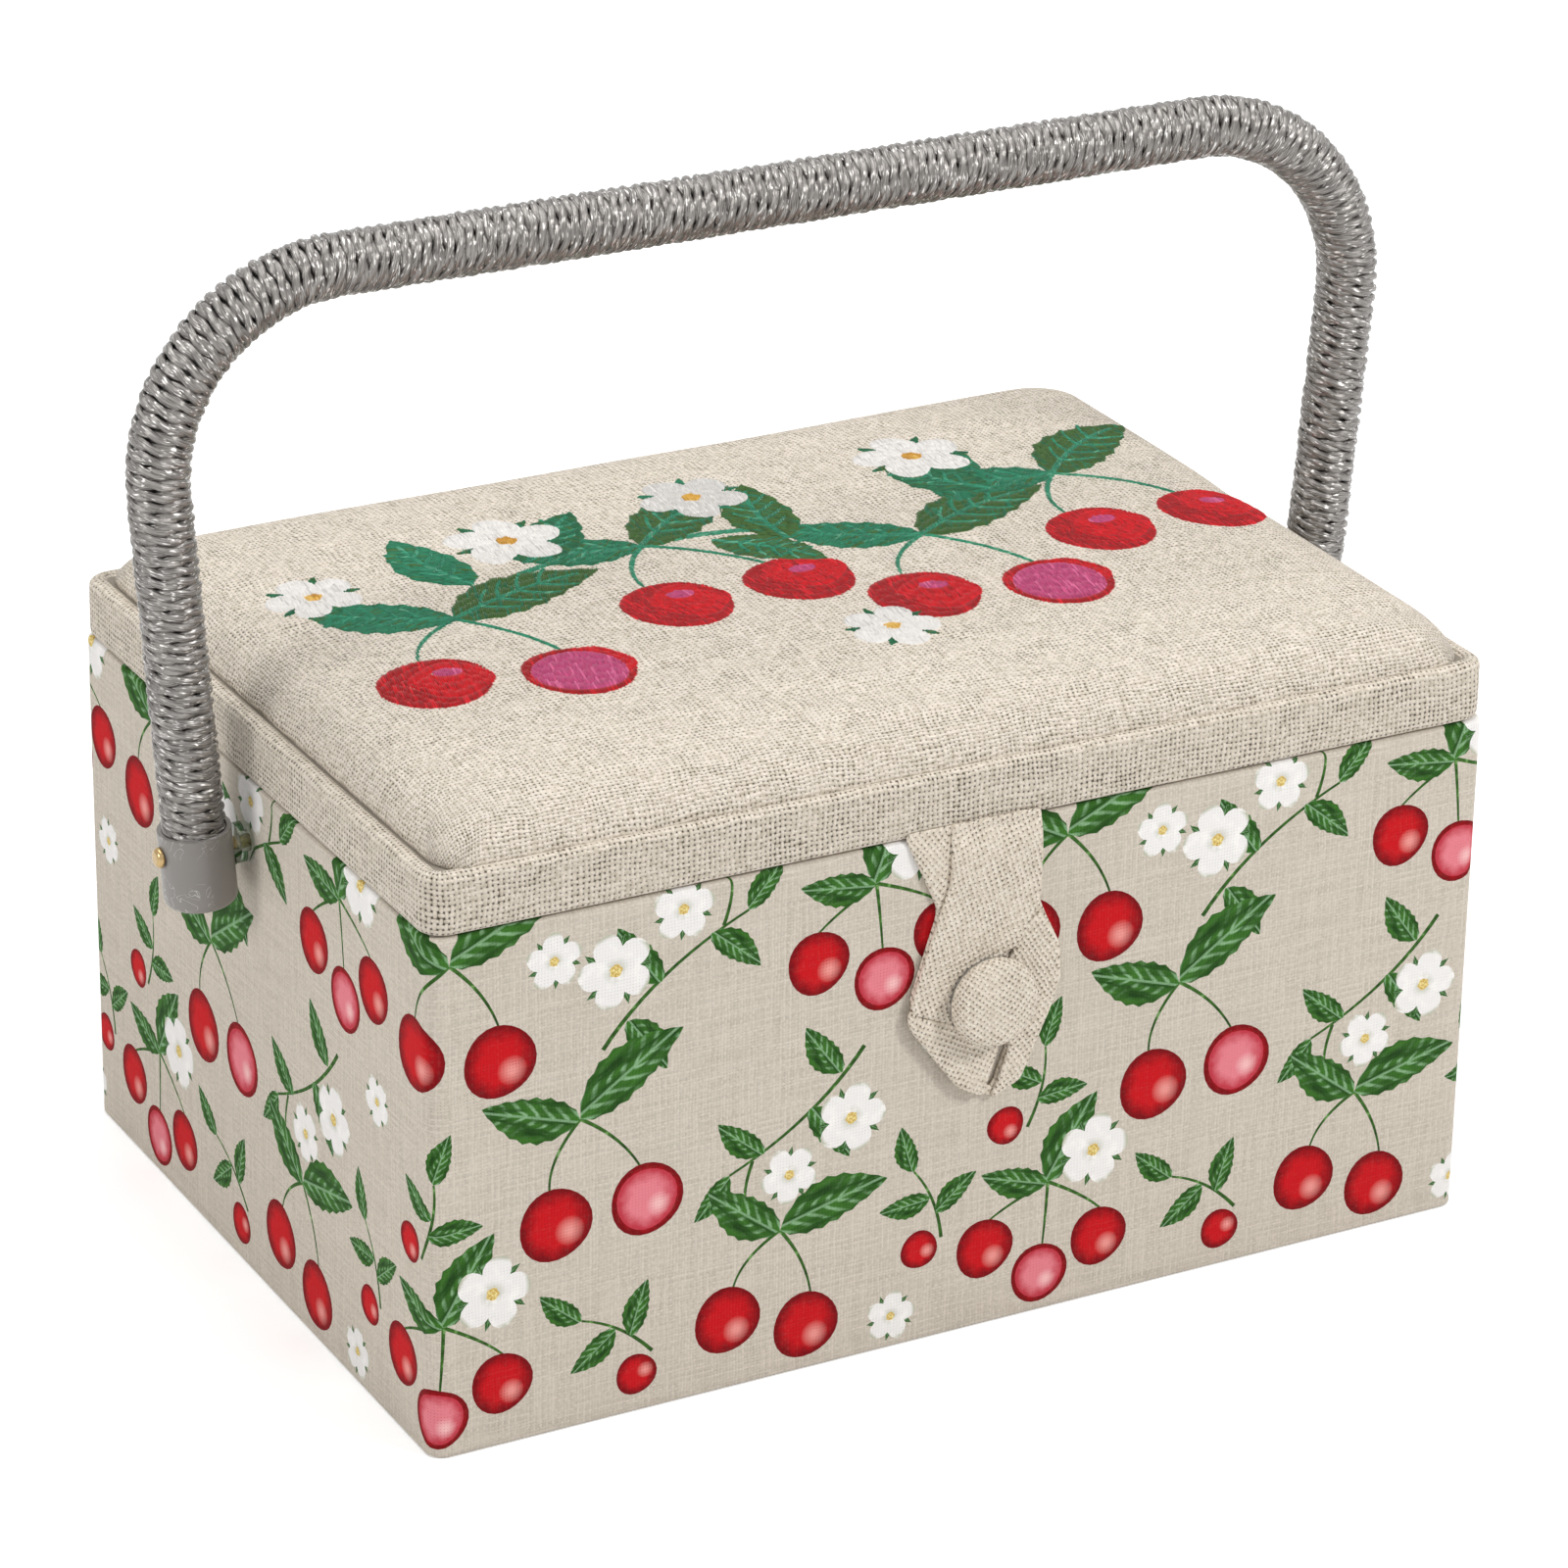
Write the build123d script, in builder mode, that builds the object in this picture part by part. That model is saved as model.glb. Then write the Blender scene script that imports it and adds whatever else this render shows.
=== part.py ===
from build123d import *
from math import cos, radians, sin, tan
import os

# A cloth-covered sewing box: board walls, a padded hinged lid, a cord-wound bail handle,
# a loop and button closure, and a lift-out tray inside.
# Millimetres. X runs left to right across the front, Y from front to back, Z up.
# The origin is the middle of the underside.

# Body
body_width = 260.0
body_depth = 185.0
body_height = 122.0
body_corner = 4.0
wall_board = 3.5
body_cloth = 0.6
wall_lining = 1.0
foot_cloth = 0.8
base_board = 3.0
floor_lining = 1.2
cloth_lift = 0.2
corner_share = 0.98

# Lid
lid_gap = 0.3
lid_band_height = 13.8
lid_corner = 6.0
lid_cloth = 0.6
lid_frame_board = 6.0
lid_top_board = 2.5
lid_lining = 2.5
lining_clearance = 0.3

# Padded top of the lid
pad_inset = 4.2
pad_corner = 14.0
pad_cloth = 0.9
pad_drawn_in = 0.9
pad_swell_height = 3.2
pad_shoulder = 10.0
pad_shoulder_height = 8.0
pad_crown_inset = 46.0
pad_crown_rise = 1.7
shoulder_steps = 6
brow_in = 0.4
brow_up = 0.7
corner_growth_share = 0.1
corner_limit_share = 0.48

# Cloth hinge along the back
hinge_cloth = 0.6
hinge_width = 240.0
hinge_reach = 11.0

# Ribbon that stops the lid, folded flat while the lid is shut
stay_width = 10.0
stay_ribbon = 0.5
stay_arm = 60.0
stay_drop = 5.0
stay_rise = 3.0
stay_fold_arm = 37.6
stay_fold_rise = 4.4

# Handle
pivot_drop = 14.7
handle_rise = 128.5
leg_clearance = 11.92
leg_tilt = 4.27
handle_bend = 42.0
core_diameter = 10.0
winding_diameter = 14.0
cap_diameter = 16.2
cap_length = 17.6
cap_floor = 2.6
cap_below_pivot = 11.9
cap_round = 1.6
cap_fit = 0.1
pin_diameter = 3.0
pin_fit = 0.05
pin_head_diameter = 4.65
pin_head_height = 1.4
pin_head_round = 1.2
pin_head_gap = 0.25
spacer_diameter = 9.0
spacer_gap = 0.35
washer_diameter = 12.0
washer_thickness = 1.0

# Button and the cloth loop round it
button_x = 1.6
button_drop = 39.6
button_diameter = 20.5
button_thickness = 5.6
button_round = 1.9
button_cloth = 0.8
button_shell = 0.5
button_back = 1.2
button_post_diameter = 3.0
button_washer_diameter = 14.0
button_washer_thickness = 1.2
loop_layer = 1.2
loop_gap = 0.2
loop_top_gap = 0.3
loop_straight = 13.5
loop_slot_width = 4.0
loop_slot_above = 3.0
loop_slot_below = 18.6
loop_slot_angle = -74.2
loop_corner = 2.6

# Tray and the ledges that carry it
ledge_thickness = 5.0
tray_drop = 30.0
tray_height = 36.0
tray_wall = 1.6
tray_rim_width = 2.6
tray_rim_clearance = 3.0
tray_seat_gap = 0.3
tray_corner = 8.0
tray_divider = 1.4
tray_divider_height = 30.0
tray_long_divider_y = 8.0
tray_short_divider_x = 40.0

# Fittings inside the lid
pocket_width = 190.0
pocket_depth = 78.0
pocket_corner = 6.0
pocket_thickness = 1.2
pocket_from_hinge = 14.0
elastic_width = 4.0
elastic_thickness = 2.2
cushion_width = 112.0
cushion_depth = 48.0
cushion_corner = 13.0
cushion_shoulder = 6.5
cushion_height = 12.5
cushion_crown_rise = 1.5
cushion_swell_height = 3.0
cushion_drawn_in = 0.8
cushion_from_front = 44.0

# Sizes that follow from these
half_width = body_width / 2
half_depth = body_depth / 2
board_width = body_width - 2 * body_cloth
board_depth = body_depth - 2 * body_cloth
board_corner = body_corner - body_cloth
room_width = board_width - 2 * wall_board
room_depth = board_depth - 2 * wall_board
inner_width = room_width - 2 * wall_lining
inner_depth = room_depth - 2 * wall_lining
board_top = body_height - body_cloth
wall_drill = 4 * wall_board
width_drill = 2 * body_width
floor_level = foot_cloth + base_board + floor_lining

lid_bottom = body_height + lid_gap
lid_rim = lid_bottom + lid_band_height
lid_board_top = lid_rim - lid_cloth
lid_board_bottom = lid_board_top - lid_top_board
lid_lining_bottom = lid_board_bottom - lid_lining
lid_frame_bottom = lid_bottom + lid_cloth
lid_board_corner = lid_corner - lid_cloth
lid_room_width = board_width - 2 * lid_frame_board
lid_room_depth = board_depth - 2 * lid_frame_board

hinge_y = half_depth + hinge_cloth / 2
hinge_z = body_height + lid_gap / 2

pivot_height = body_height - pivot_drop
handle_height = pivot_height + handle_rise
leg_foot = half_width + leg_clearance
lean = tan(radians(leg_tilt))
leg_top_x = leg_foot + lean * (handle_height - pivot_height)
cap_foot_z = pivot_height - cap_below_pivot * cos(radians(leg_tilt))
cap_foot_x = leg_foot - cap_below_pivot * sin(radians(leg_tilt))
cap_reach = cap_diameter / 2 / cos(radians(leg_tilt))
pin_head_x = leg_foot + cap_reach + pin_head_gap
spacer_end_x = leg_foot - cap_reach - spacer_diameter / 2 * lean - spacer_gap
wall_face_x = inner_width / 2

tray_top = body_height - tray_drop
tray_seat = tray_top - tray_wall - tray_seat_gap
tray_rim_x = inner_width - 2 * tray_rim_clearance
tray_rim_y = inner_depth - 2 * tray_rim_clearance
tray_body_x = tray_rim_x - 2 * tray_rim_width
tray_body_y = tray_rim_y - 2 * tray_rim_width

button_height = body_height - button_drop
loop_back_y = -half_depth - loop_gap
loop_front_y = loop_back_y - loop_layer
button_back_y = loop_front_y - loop_layer - lid_gap
sides = {"left": -1, "right": 1}

os.makedirs("parts", exist_ok=True)


def crowned_levels(drawn_in, swell, shoulder, shoulder_height, crown_inset, crown_rise):
    """Return a pad's levels, each as how far it is drawn in and how high it stands.

    The side is drawn in at the foot, swells, turns over a round shoulder and ends in a low crown.
    """
    levels = [(drawn_in, 0.0), (0.0, swell)]
    for step in range(1, shoulder_steps + 1):
        turn = radians(90 * step / (shoulder_steps + 1))
        levels.append((shoulder * (1 - cos(turn)), swell + shoulder_height * sin(turn)))
    brow = swell + shoulder_height
    levels.append((shoulder + brow_in * (crown_inset - shoulder), brow + brow_up * crown_rise))
    levels.append((crown_inset, brow + crown_rise))
    return levels


def crowned_pad(width, depth, corner, levels, base, cloth=0.0, up=1):
    """Return a pad lofted through its levels, smaller all round by the thickness of a cloth."""
    with BuildPart() as pad:
        for count, (drawn_in, height) in enumerate(levels):
            inset = drawn_in + cloth
            level_width = width - 2 * inset
            level_depth = depth - 2 * inset
            grown_corner = corner + corner_growth_share * inset
            level_corner = min(grown_corner, corner_limit_share * level_depth)
            with BuildSketch(Plane.XY.offset(base + up * (height - (cloth if count else 0)))):
                RectangleRounded(level_width, level_depth, level_corner)
        loft(ruled=True)
    return pad.part


def button_dome(radius, thickness, corner):
    """Return a solid round button of the given radius, flat at the back, with a rounded rim."""
    with BuildPart() as dome:
        with BuildSketch(Plane(origin=(button_x, button_back_y, button_height),
                               x_dir=(1, 0, 0), z_dir=(0, -1, 0))):
            Circle(radius)
        extrude(amount=thickness)
        fillet(edges().sort_by(Axis.Y)[0], corner)
    return dome.part


# Base of the body
with BuildPart() as base_cover:
    with BuildSketch(Plane.XY):
        RectangleRounded(board_width, board_depth, board_corner)
    extrude(amount=foot_cloth)
base_cover.part.label = "base_cover"
export_step(base_cover.part, "parts/base_cover.step")

with BuildPart() as base_panel:
    with BuildSketch(Plane.XY.offset(foot_cloth)):
        Rectangle(room_width, room_depth)
    extrude(amount=base_board)
base_panel.part.label = "base_board"
export_step(base_panel.part, "parts/base_board.step")

with BuildPart() as floor_pad:
    with BuildSketch(Plane.XY.offset(foot_cloth + base_board)):
        Rectangle(room_width, room_depth)
    extrude(amount=floor_lining)
floor_pad.part.label = "floor_lining"
export_step(floor_pad.part, "parts/floor_lining.step")

# Front and back wall boards, which carry the rounded corners
for name, side in {"front": -1, "back": 1}.items():
    with BuildPart() as end_wall:
        with BuildSketch(Plane.XY.offset(foot_cloth)):
            with Locations((0, side * (room_depth + wall_board) / 2)):
                Rectangle(board_width, wall_board)
            outer_corners = vertices().group_by(Axis.Y)[0 if side < 0 else -1]
            fillet(outer_corners, min(board_corner, corner_share * wall_board))
        extrude(amount=board_top - foot_cloth)
        if side < 0:
            with Locations((button_x, -half_depth, button_height)):
                Cylinder(button_post_diameter / 2 + pin_fit, wall_drill,
                         rotation=(90, 0, 0), mode=Mode.SUBTRACT)
    end_wall.part.label = f"{name}_board"
    export_step(end_wall.part, f"parts/{name}_board.step")

# Side wall boards, fitted between them and drilled for the handle pins
for name, side in sides.items():
    with BuildPart() as side_wall:
        with BuildSketch(Plane.XY.offset(foot_cloth)):
            with Locations((side * (room_width + wall_board) / 2, 0)):
                Rectangle(wall_board, room_depth)
        extrude(amount=board_top - foot_cloth)
        with Locations((side * half_width, 0, pivot_height)):
            Cylinder(pin_diameter / 2 + pin_fit, wall_drill,
                     rotation=(0, 90, 0), mode=Mode.SUBTRACT)
    side_wall.part.label = f"{name}_board"
    export_step(side_wall.part, f"parts/{name}_board.step")

# Printed cloth round the walls, turned in over the rim
with BuildPart() as body_cover:
    with BuildSketch(Plane.XY.offset(cloth_lift)):
        RectangleRounded(body_width, body_depth, body_corner)
        RectangleRounded(board_width, board_depth, board_corner, mode=Mode.SUBTRACT)
    extrude(amount=body_height - cloth_lift)
    with BuildSketch(Plane.XY.offset(board_top)):
        RectangleRounded(board_width, board_depth, board_corner)
        Rectangle(inner_width, inner_depth, mode=Mode.SUBTRACT)
    extrude(amount=body_cloth)
    with Locations((0, 0, pivot_height)):
        Cylinder(pin_diameter / 2 + pin_fit, width_drill,
                 rotation=(0, 90, 0), mode=Mode.SUBTRACT)
    with Locations((button_x, -half_depth, button_height)):
        Cylinder(button_post_diameter / 2 + pin_fit, wall_drill,
                 rotation=(90, 0, 0), mode=Mode.SUBTRACT)
body_cover.part.label = "body_cover"
export_step(body_cover.part, "parts/body_cover.step")

# Plain lining of the walls
with BuildPart() as inner_cloth:
    with BuildSketch(Plane.XY.offset(floor_level)):
        Rectangle(room_width, room_depth)
        Rectangle(inner_width, inner_depth, mode=Mode.SUBTRACT)
    extrude(amount=board_top - floor_level)
    with Locations((0, 0, pivot_height)):
        Cylinder(pin_diameter / 2 + pin_fit, width_drill,
                 rotation=(0, 90, 0), mode=Mode.SUBTRACT)
    with Locations((button_x, -half_depth, button_height)):
        Cylinder(button_post_diameter / 2 + pin_fit, wall_drill,
                 rotation=(90, 0, 0), mode=Mode.SUBTRACT)
inner_cloth.part.label = "wall_lining"
export_step(inner_cloth.part, "parts/wall_lining.step")

# Ledges that carry the tray
for name, side in sides.items():
    with BuildPart() as ledge:
        with BuildSketch(Plane.XY.offset(floor_level)):
            with Locations((side * (inner_width - ledge_thickness) / 2, 0)):
                Rectangle(ledge_thickness, inner_depth)
        extrude(amount=tray_seat - floor_level)
    ledge.part.label = f"{name}_ledge"
    export_step(ledge.part, f"parts/{name}_ledge.step")

# Lid frame, four strips under the top board
for name, side in {"front": -1, "back": 1}.items():
    with BuildPart() as end_strip:
        with BuildSketch(Plane.XY.offset(lid_frame_bottom)):
            with Locations((0, side * (lid_room_depth + lid_frame_board) / 2)):
                Rectangle(board_width, lid_frame_board)
            outer_corners = vertices().group_by(Axis.Y)[0 if side < 0 else -1]
            fillet(outer_corners, min(lid_board_corner, corner_share * lid_frame_board))
        extrude(amount=lid_board_bottom - lid_frame_bottom)
    end_strip.part.label = f"lid_frame_{name}"
    export_step(end_strip.part, f"parts/lid_frame_{name}.step")

for name, side in sides.items():
    with BuildPart() as side_strip:
        with BuildSketch(Plane.XY.offset(lid_frame_bottom)):
            with Locations((side * (lid_room_width + lid_frame_board) / 2, 0)):
                Rectangle(lid_frame_board, lid_room_depth)
        extrude(amount=lid_board_bottom - lid_frame_bottom)
    side_strip.part.label = f"lid_frame_{name}"
    export_step(side_strip.part, f"parts/lid_frame_{name}.step")

with BuildPart() as lid_panel:
    with BuildSketch(Plane.XY.offset(lid_board_bottom)):
        RectangleRounded(board_width, board_depth, lid_board_corner)
    extrude(amount=lid_top_board)
lid_panel.part.label = "lid_board"
export_step(lid_panel.part, "parts/lid_board.step")

# Linen band round the lid's edge, turned in underneath
with BuildPart() as lid_band:
    with BuildSketch(Plane.XY.offset(lid_bottom)):
        RectangleRounded(body_width, body_depth, lid_corner)
        RectangleRounded(board_width, board_depth, lid_board_corner, mode=Mode.SUBTRACT)
    extrude(amount=lid_band_height)
    with BuildSketch(Plane.XY.offset(lid_bottom)):
        RectangleRounded(board_width, board_depth, lid_board_corner)
        Rectangle(lid_room_width, lid_room_depth, mode=Mode.SUBTRACT)
    extrude(amount=lid_cloth)
lid_band.part.label = "lid_band"
export_step(lid_band.part, "parts/lid_band.step")

# Padded top: a crowned filling with its sides drawn in at the board, and the linen over it
pad_levels = crowned_levels(pad_drawn_in, pad_swell_height, pad_shoulder, pad_shoulder_height,
                            pad_crown_inset, pad_crown_rise)
pad_width = body_width - 2 * pad_inset
pad_depth = body_depth - 2 * pad_inset
with BuildPart() as lid_filling:
    add(crowned_pad(pad_width, pad_depth, pad_corner, pad_levels, lid_board_top, pad_cloth))
lid_filling.part.label = "lid_filling"
export_step(lid_filling.part, "parts/lid_filling.step")

with BuildPart() as lid_cover:
    with BuildSketch(Plane.XY.offset(lid_board_top)):
        RectangleRounded(board_width, board_depth, lid_board_corner)
    extrude(amount=lid_cloth)
    add(crowned_pad(pad_width, pad_depth, pad_corner, pad_levels, lid_board_top))
    add(lid_filling.part, mode=Mode.SUBTRACT)
lid_cover.part.label = "lid_cover"
export_step(lid_cover.part, "parts/lid_cover.step")

# Lining panel inside the lid, with a gathered pocket and a pin cushion
with BuildPart() as lid_inside:
    with BuildSketch(Plane.XY.offset(lid_lining_bottom)):
        Rectangle(lid_room_width - 2 * lining_clearance, lid_room_depth - 2 * lining_clearance)
    extrude(amount=lid_lining)
lid_inside.part.label = "lid_lining"
export_step(lid_inside.part, "parts/lid_lining.step")

pocket_y = lid_room_depth / 2 - pocket_from_hinge - pocket_depth / 2
with BuildPart() as pocket:
    with BuildSketch(Plane.XY.offset(lid_lining_bottom - pocket_thickness)):
        with Locations((0, pocket_y)):
            RectangleRounded(pocket_width, pocket_depth, pocket_corner)
    extrude(amount=pocket_thickness)
pocket.part.label = "lid_pocket"
export_step(pocket.part, "parts/lid_pocket.step")

with BuildPart() as elastic:
    with BuildSketch(Plane.XY.offset(lid_lining_bottom - elastic_thickness)):
        with Locations((0, pocket_y - pocket_depth / 2 - elastic_width / 2)):
            Rectangle(pocket_width, elastic_width)
    extrude(amount=elastic_thickness)
elastic.part.label = "pocket_elastic"
export_step(elastic.part, "parts/pocket_elastic.step")

cushion_crown_inset = cushion_depth / 2 - cushion_shoulder
cushion_brow = cushion_height - cushion_crown_rise - cushion_swell_height
cushion_levels = crowned_levels(cushion_drawn_in, cushion_swell_height, cushion_shoulder,
                                cushion_brow, cushion_crown_inset, cushion_crown_rise)
cushion_y = -half_depth + cushion_from_front
with BuildPart() as pin_cushion:
    with Locations((0, cushion_y, 0)):
        add(crowned_pad(cushion_width, cushion_depth, cushion_corner, cushion_levels,
                        lid_lining_bottom, up=-1))
pin_cushion.part.label = "pin_cushion"
export_step(pin_cushion.part, "parts/pin_cushion.step")

# Cloth hinge down the back, half on the lid and half on the body
with BuildPart() as hinge_strip:
    with BuildSketch(Plane.XZ.offset(-half_depth)):
        with Locations((0, hinge_z)):
            Rectangle(hinge_width, 2 * hinge_reach)
    extrude(amount=-hinge_cloth)
hinge_strip.part.label = "hinge_cloth"
export_step(hinge_strip.part, "parts/hinge_cloth.step")

# Ribbon stays, each a flat fold between the body's lining and the lid's frame
stay_outer_x = lid_room_width / 2 - lining_clearance
for name, side in sides.items():
    body_end = (hinge_y - stay_arm, hinge_z - stay_drop)
    lid_end = (hinge_y - stay_arm, hinge_z + stay_rise)
    fold = (hinge_y - stay_fold_arm, hinge_z - stay_drop + stay_fold_rise)
    with BuildPart() as stay:
        with BuildSketch(Plane.YZ.offset(side * stay_outer_x)):
            with BuildLine():
                Polyline(
                    body_end, (fold[0], fold[1] - stay_ribbon), (fold[0] + stay_ribbon, fold[1]),
                    (fold[0], fold[1] + stay_ribbon), lid_end,
                    (lid_end[0], lid_end[1] - stay_ribbon), (fold[0] - stay_ribbon, fold[1]),
                    (body_end[0], body_end[1] + stay_ribbon), close=True)
            make_face()
        extrude(amount=-side * stay_width)
    stay.part.label = f"lid_stay_{name}"
    export_step(stay.part, f"parts/lid_stay_{name}.step")

# Handle: a bent core tube and the cord wound round it, both running down into the end caps
handle_path_points = [
    (-cap_foot_x, 0, cap_foot_z), (-leg_top_x, 0, handle_height),
    (leg_top_x, 0, handle_height), (cap_foot_x, 0, cap_foot_z)]
with BuildLine() as handle_path:
    FilletPolyline(*handle_path_points, radius=handle_bend)
foot_plane = Plane(origin=handle_path.line @ 0, z_dir=handle_path.line % 0)

with BuildPart() as handle_tube:
    with BuildSketch(foot_plane):
        Circle(winding_diameter / 2)
    sweep(path=handle_path.line)

with BuildPart() as handle_core:
    with BuildSketch(foot_plane):
        Circle(core_diameter / 2)
    sweep(path=handle_path.line)

leg_planes = {}
for name, side in sides.items():
    leg_planes[name] = Plane(
        origin=(side * cap_foot_x, 0, cap_foot_z),
        z_dir=(side * sin(radians(leg_tilt)), 0, cos(radians(leg_tilt))))

with BuildPart() as pin_drill:
    with Locations((0, 0, pivot_height)):
        Cylinder(pin_diameter / 2 + pin_fit, width_drill, rotation=(0, 90, 0))

with BuildPart() as cap_floors:
    for name in sides:
        with BuildSketch(leg_planes[name].offset(-cap_floor)):
            Circle(cap_diameter)
        extrude(amount=2 * cap_floor)

with BuildPart() as core:
    add(handle_core.part)
    add(cap_floors.part, mode=Mode.SUBTRACT)
    add(pin_drill.part, mode=Mode.SUBTRACT)
core.part.label = "handle_core"
export_step(core.part, "parts/handle_core.step")

with BuildPart() as winding:
    add(handle_tube.part)
    add(handle_core.part, mode=Mode.SUBTRACT)
    add(cap_floors.part, mode=Mode.SUBTRACT)
    add(pin_drill.part, mode=Mode.SUBTRACT)
winding.part.label = "handle_winding"
export_step(winding.part, "parts/handle_winding.step")

for name, side in sides.items():
    with BuildPart() as end_cap:
        with BuildSketch(leg_planes[name]):
            Circle(cap_diameter / 2)
        extrude(amount=cap_length)
        fillet(edges().filter_by(GeomType.CIRCLE).sort_by(Axis.Z)[0], cap_round)
        with BuildSketch(leg_planes[name].offset(cap_floor)):
            Circle(winding_diameter / 2 + cap_fit)
        extrude(amount=cap_length, mode=Mode.SUBTRACT)
        add(pin_drill.part, mode=Mode.SUBTRACT)
    end_cap.part.label = f"{name}_cap"
    export_step(end_cap.part, f"parts/{name}_cap.step")

# Rivet pins through the caps and the side walls, with spacers outside and washers inside
washer_face_x = wall_face_x - washer_thickness
pin_tail_x = washer_face_x - pin_fit
for name, side in sides.items():
    with BuildPart() as pin:
        with BuildSketch(Plane.YZ.offset(side * pin_tail_x)):
            with Locations((0, pivot_height)):
                Circle(pin_diameter / 2)
        extrude(amount=side * (pin_head_x - pin_tail_x))
        for seat_x, outward in ((pin_head_x, side), (pin_tail_x, -side)):
            with BuildSketch(Plane.YZ.offset(side * seat_x)):
                with Locations((0, pivot_height)):
                    Circle(pin_head_diameter / 2)
            extrude(amount=outward * pin_head_height)
        dome_edges = edges().filter_by(GeomType.CIRCLE).sort_by(Axis.X)
        fillet([dome_edges[0], dome_edges[-1]], pin_head_round)
    pin.part.label = f"handle_pin_{name}"
    export_step(pin.part, f"parts/handle_pin_{name}.step")

    with BuildPart() as spacer:
        with BuildSketch(Plane.YZ.offset(side * half_width)):
            with Locations((0, pivot_height)):
                Circle(spacer_diameter / 2)
                Circle(pin_diameter / 2 + pin_fit, mode=Mode.SUBTRACT)
        extrude(amount=side * (spacer_end_x - half_width))
    spacer.part.label = f"{name}_spacer"
    export_step(spacer.part, f"parts/{name}_spacer.step")

    with BuildPart() as washer:
        with BuildSketch(Plane.YZ.offset(side * wall_face_x)):
            with Locations((0, pivot_height)):
                Circle(washer_diameter / 2)
                Circle(pin_diameter / 2 + pin_fit, mode=Mode.SUBTRACT)
        extrude(amount=-side * washer_thickness)
    washer.part.label = f"{name}_pin_washer"
    export_step(washer.part, f"parts/{name}_pin_washer.step")

# Cloth loop: a band sewn under the lid, brought down round the button and folded over itself
loop_top = lid_bottom - loop_top_gap - button_height
loop_outline = [
    (-20.7, loop_top), (-12.0, 22.4), (-18.7, 1.7), (-3.0, -23.4), (2.4, -25.4), (9.2, -22.5),
    (16.7, -6.1), (18.9, 0.6), (18.3, 8.9), (15.1, 15.7), (12.8, 21.3), (13.2, loop_top)]
strand_outline = [
    (-9.1, loop_top), (-9.8, 28.0), (-12.0, 22.4), (-18.7, 1.7), (-6.7, -6.1), (-3.0, 7.0),
    (8.0, 11.0), (12.8, 21.3), (13.2, loop_top)]
loop_cut = 3 * loop_layer
slot_reach = (loop_slot_below - loop_slot_above) / 2
slot_middle = (slot_reach * cos(radians(loop_slot_angle)),
               slot_reach * sin(radians(loop_slot_angle)))
loop_plane = Plane(origin=(button_x, loop_back_y, button_height), x_dir=(1, 0, 0), z_dir=(0, -1, 0))
with BuildPart() as closure_loop:
    with BuildSketch(loop_plane):
        with BuildLine():
            Polyline(*loop_outline, close=True)
        make_face()
        low_corners = [v for v in vertices() if v.Z < body_height - loop_straight]
        fillet(low_corners, loop_corner)
    extrude(amount=loop_layer)
    with BuildSketch(loop_plane.offset(loop_layer)):
        with BuildLine():
            Polyline(*strand_outline, close=True)
        make_face()
    extrude(amount=loop_layer)
    with BuildSketch(loop_plane):
        with Locations(slot_middle):
            SlotCenterToCenter(loop_slot_above + loop_slot_below, loop_slot_width,
                               rotation=loop_slot_angle)
    extrude(amount=loop_cut, mode=Mode.SUBTRACT)
closure_loop.part.label = "closure_loop"
export_step(closure_loop.part, "parts/closure_loop.step")

# Covered button: cloth over a metal shell, closed by a back plate and sewn on through a post
with BuildPart() as button_shell_part:
    add(button_dome(button_diameter / 2 - button_cloth, button_thickness - button_cloth,
                    button_round - button_cloth / 2))
    add(button_dome(button_diameter / 2 - button_cloth - button_shell,
                    button_thickness - button_cloth - button_shell,
                    button_round - button_cloth / 2 - button_shell / 2), mode=Mode.SUBTRACT)
button_shell_part.part.label = "button_shell"
export_step(button_shell_part.part, "parts/button_shell.step")

with BuildPart() as button_cover:
    add(button_dome(button_diameter / 2, button_thickness, button_round))
    add(button_dome(button_diameter / 2 - button_cloth, button_thickness - button_cloth,
                    button_round - button_cloth / 2), mode=Mode.SUBTRACT)
button_cover.part.label = "button_cover"
export_step(button_cover.part, "parts/button_cover.step")

with BuildPart() as button_plate:
    with BuildSketch(Plane.XZ.offset(-button_back_y)):
        with Locations((button_x, button_height)):
            Circle(button_diameter / 2 - button_cloth - button_shell)
    extrude(amount=button_back)
button_plate.part.label = "button_back"
export_step(button_plate.part, "parts/button_back.step")

inner_front_y = -inner_depth / 2
with BuildPart() as button_post:
    with BuildSketch(Plane.XZ.offset(-button_back_y)):
        with Locations((button_x, button_height)):
            Circle(button_post_diameter / 2)
    extrude(amount=-(inner_front_y - button_back_y))
button_post.part.label = "button_post"
export_step(button_post.part, "parts/button_post.step")

with BuildPart() as button_washer:
    with BuildSketch(Plane.XZ.offset(-inner_front_y)):
        with Locations((button_x, button_height)):
            Circle(button_washer_diameter / 2)
    extrude(amount=-button_washer_thickness)
button_washer.part.label = "button_washer"
export_step(button_washer.part, "parts/button_washer.step")

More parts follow.
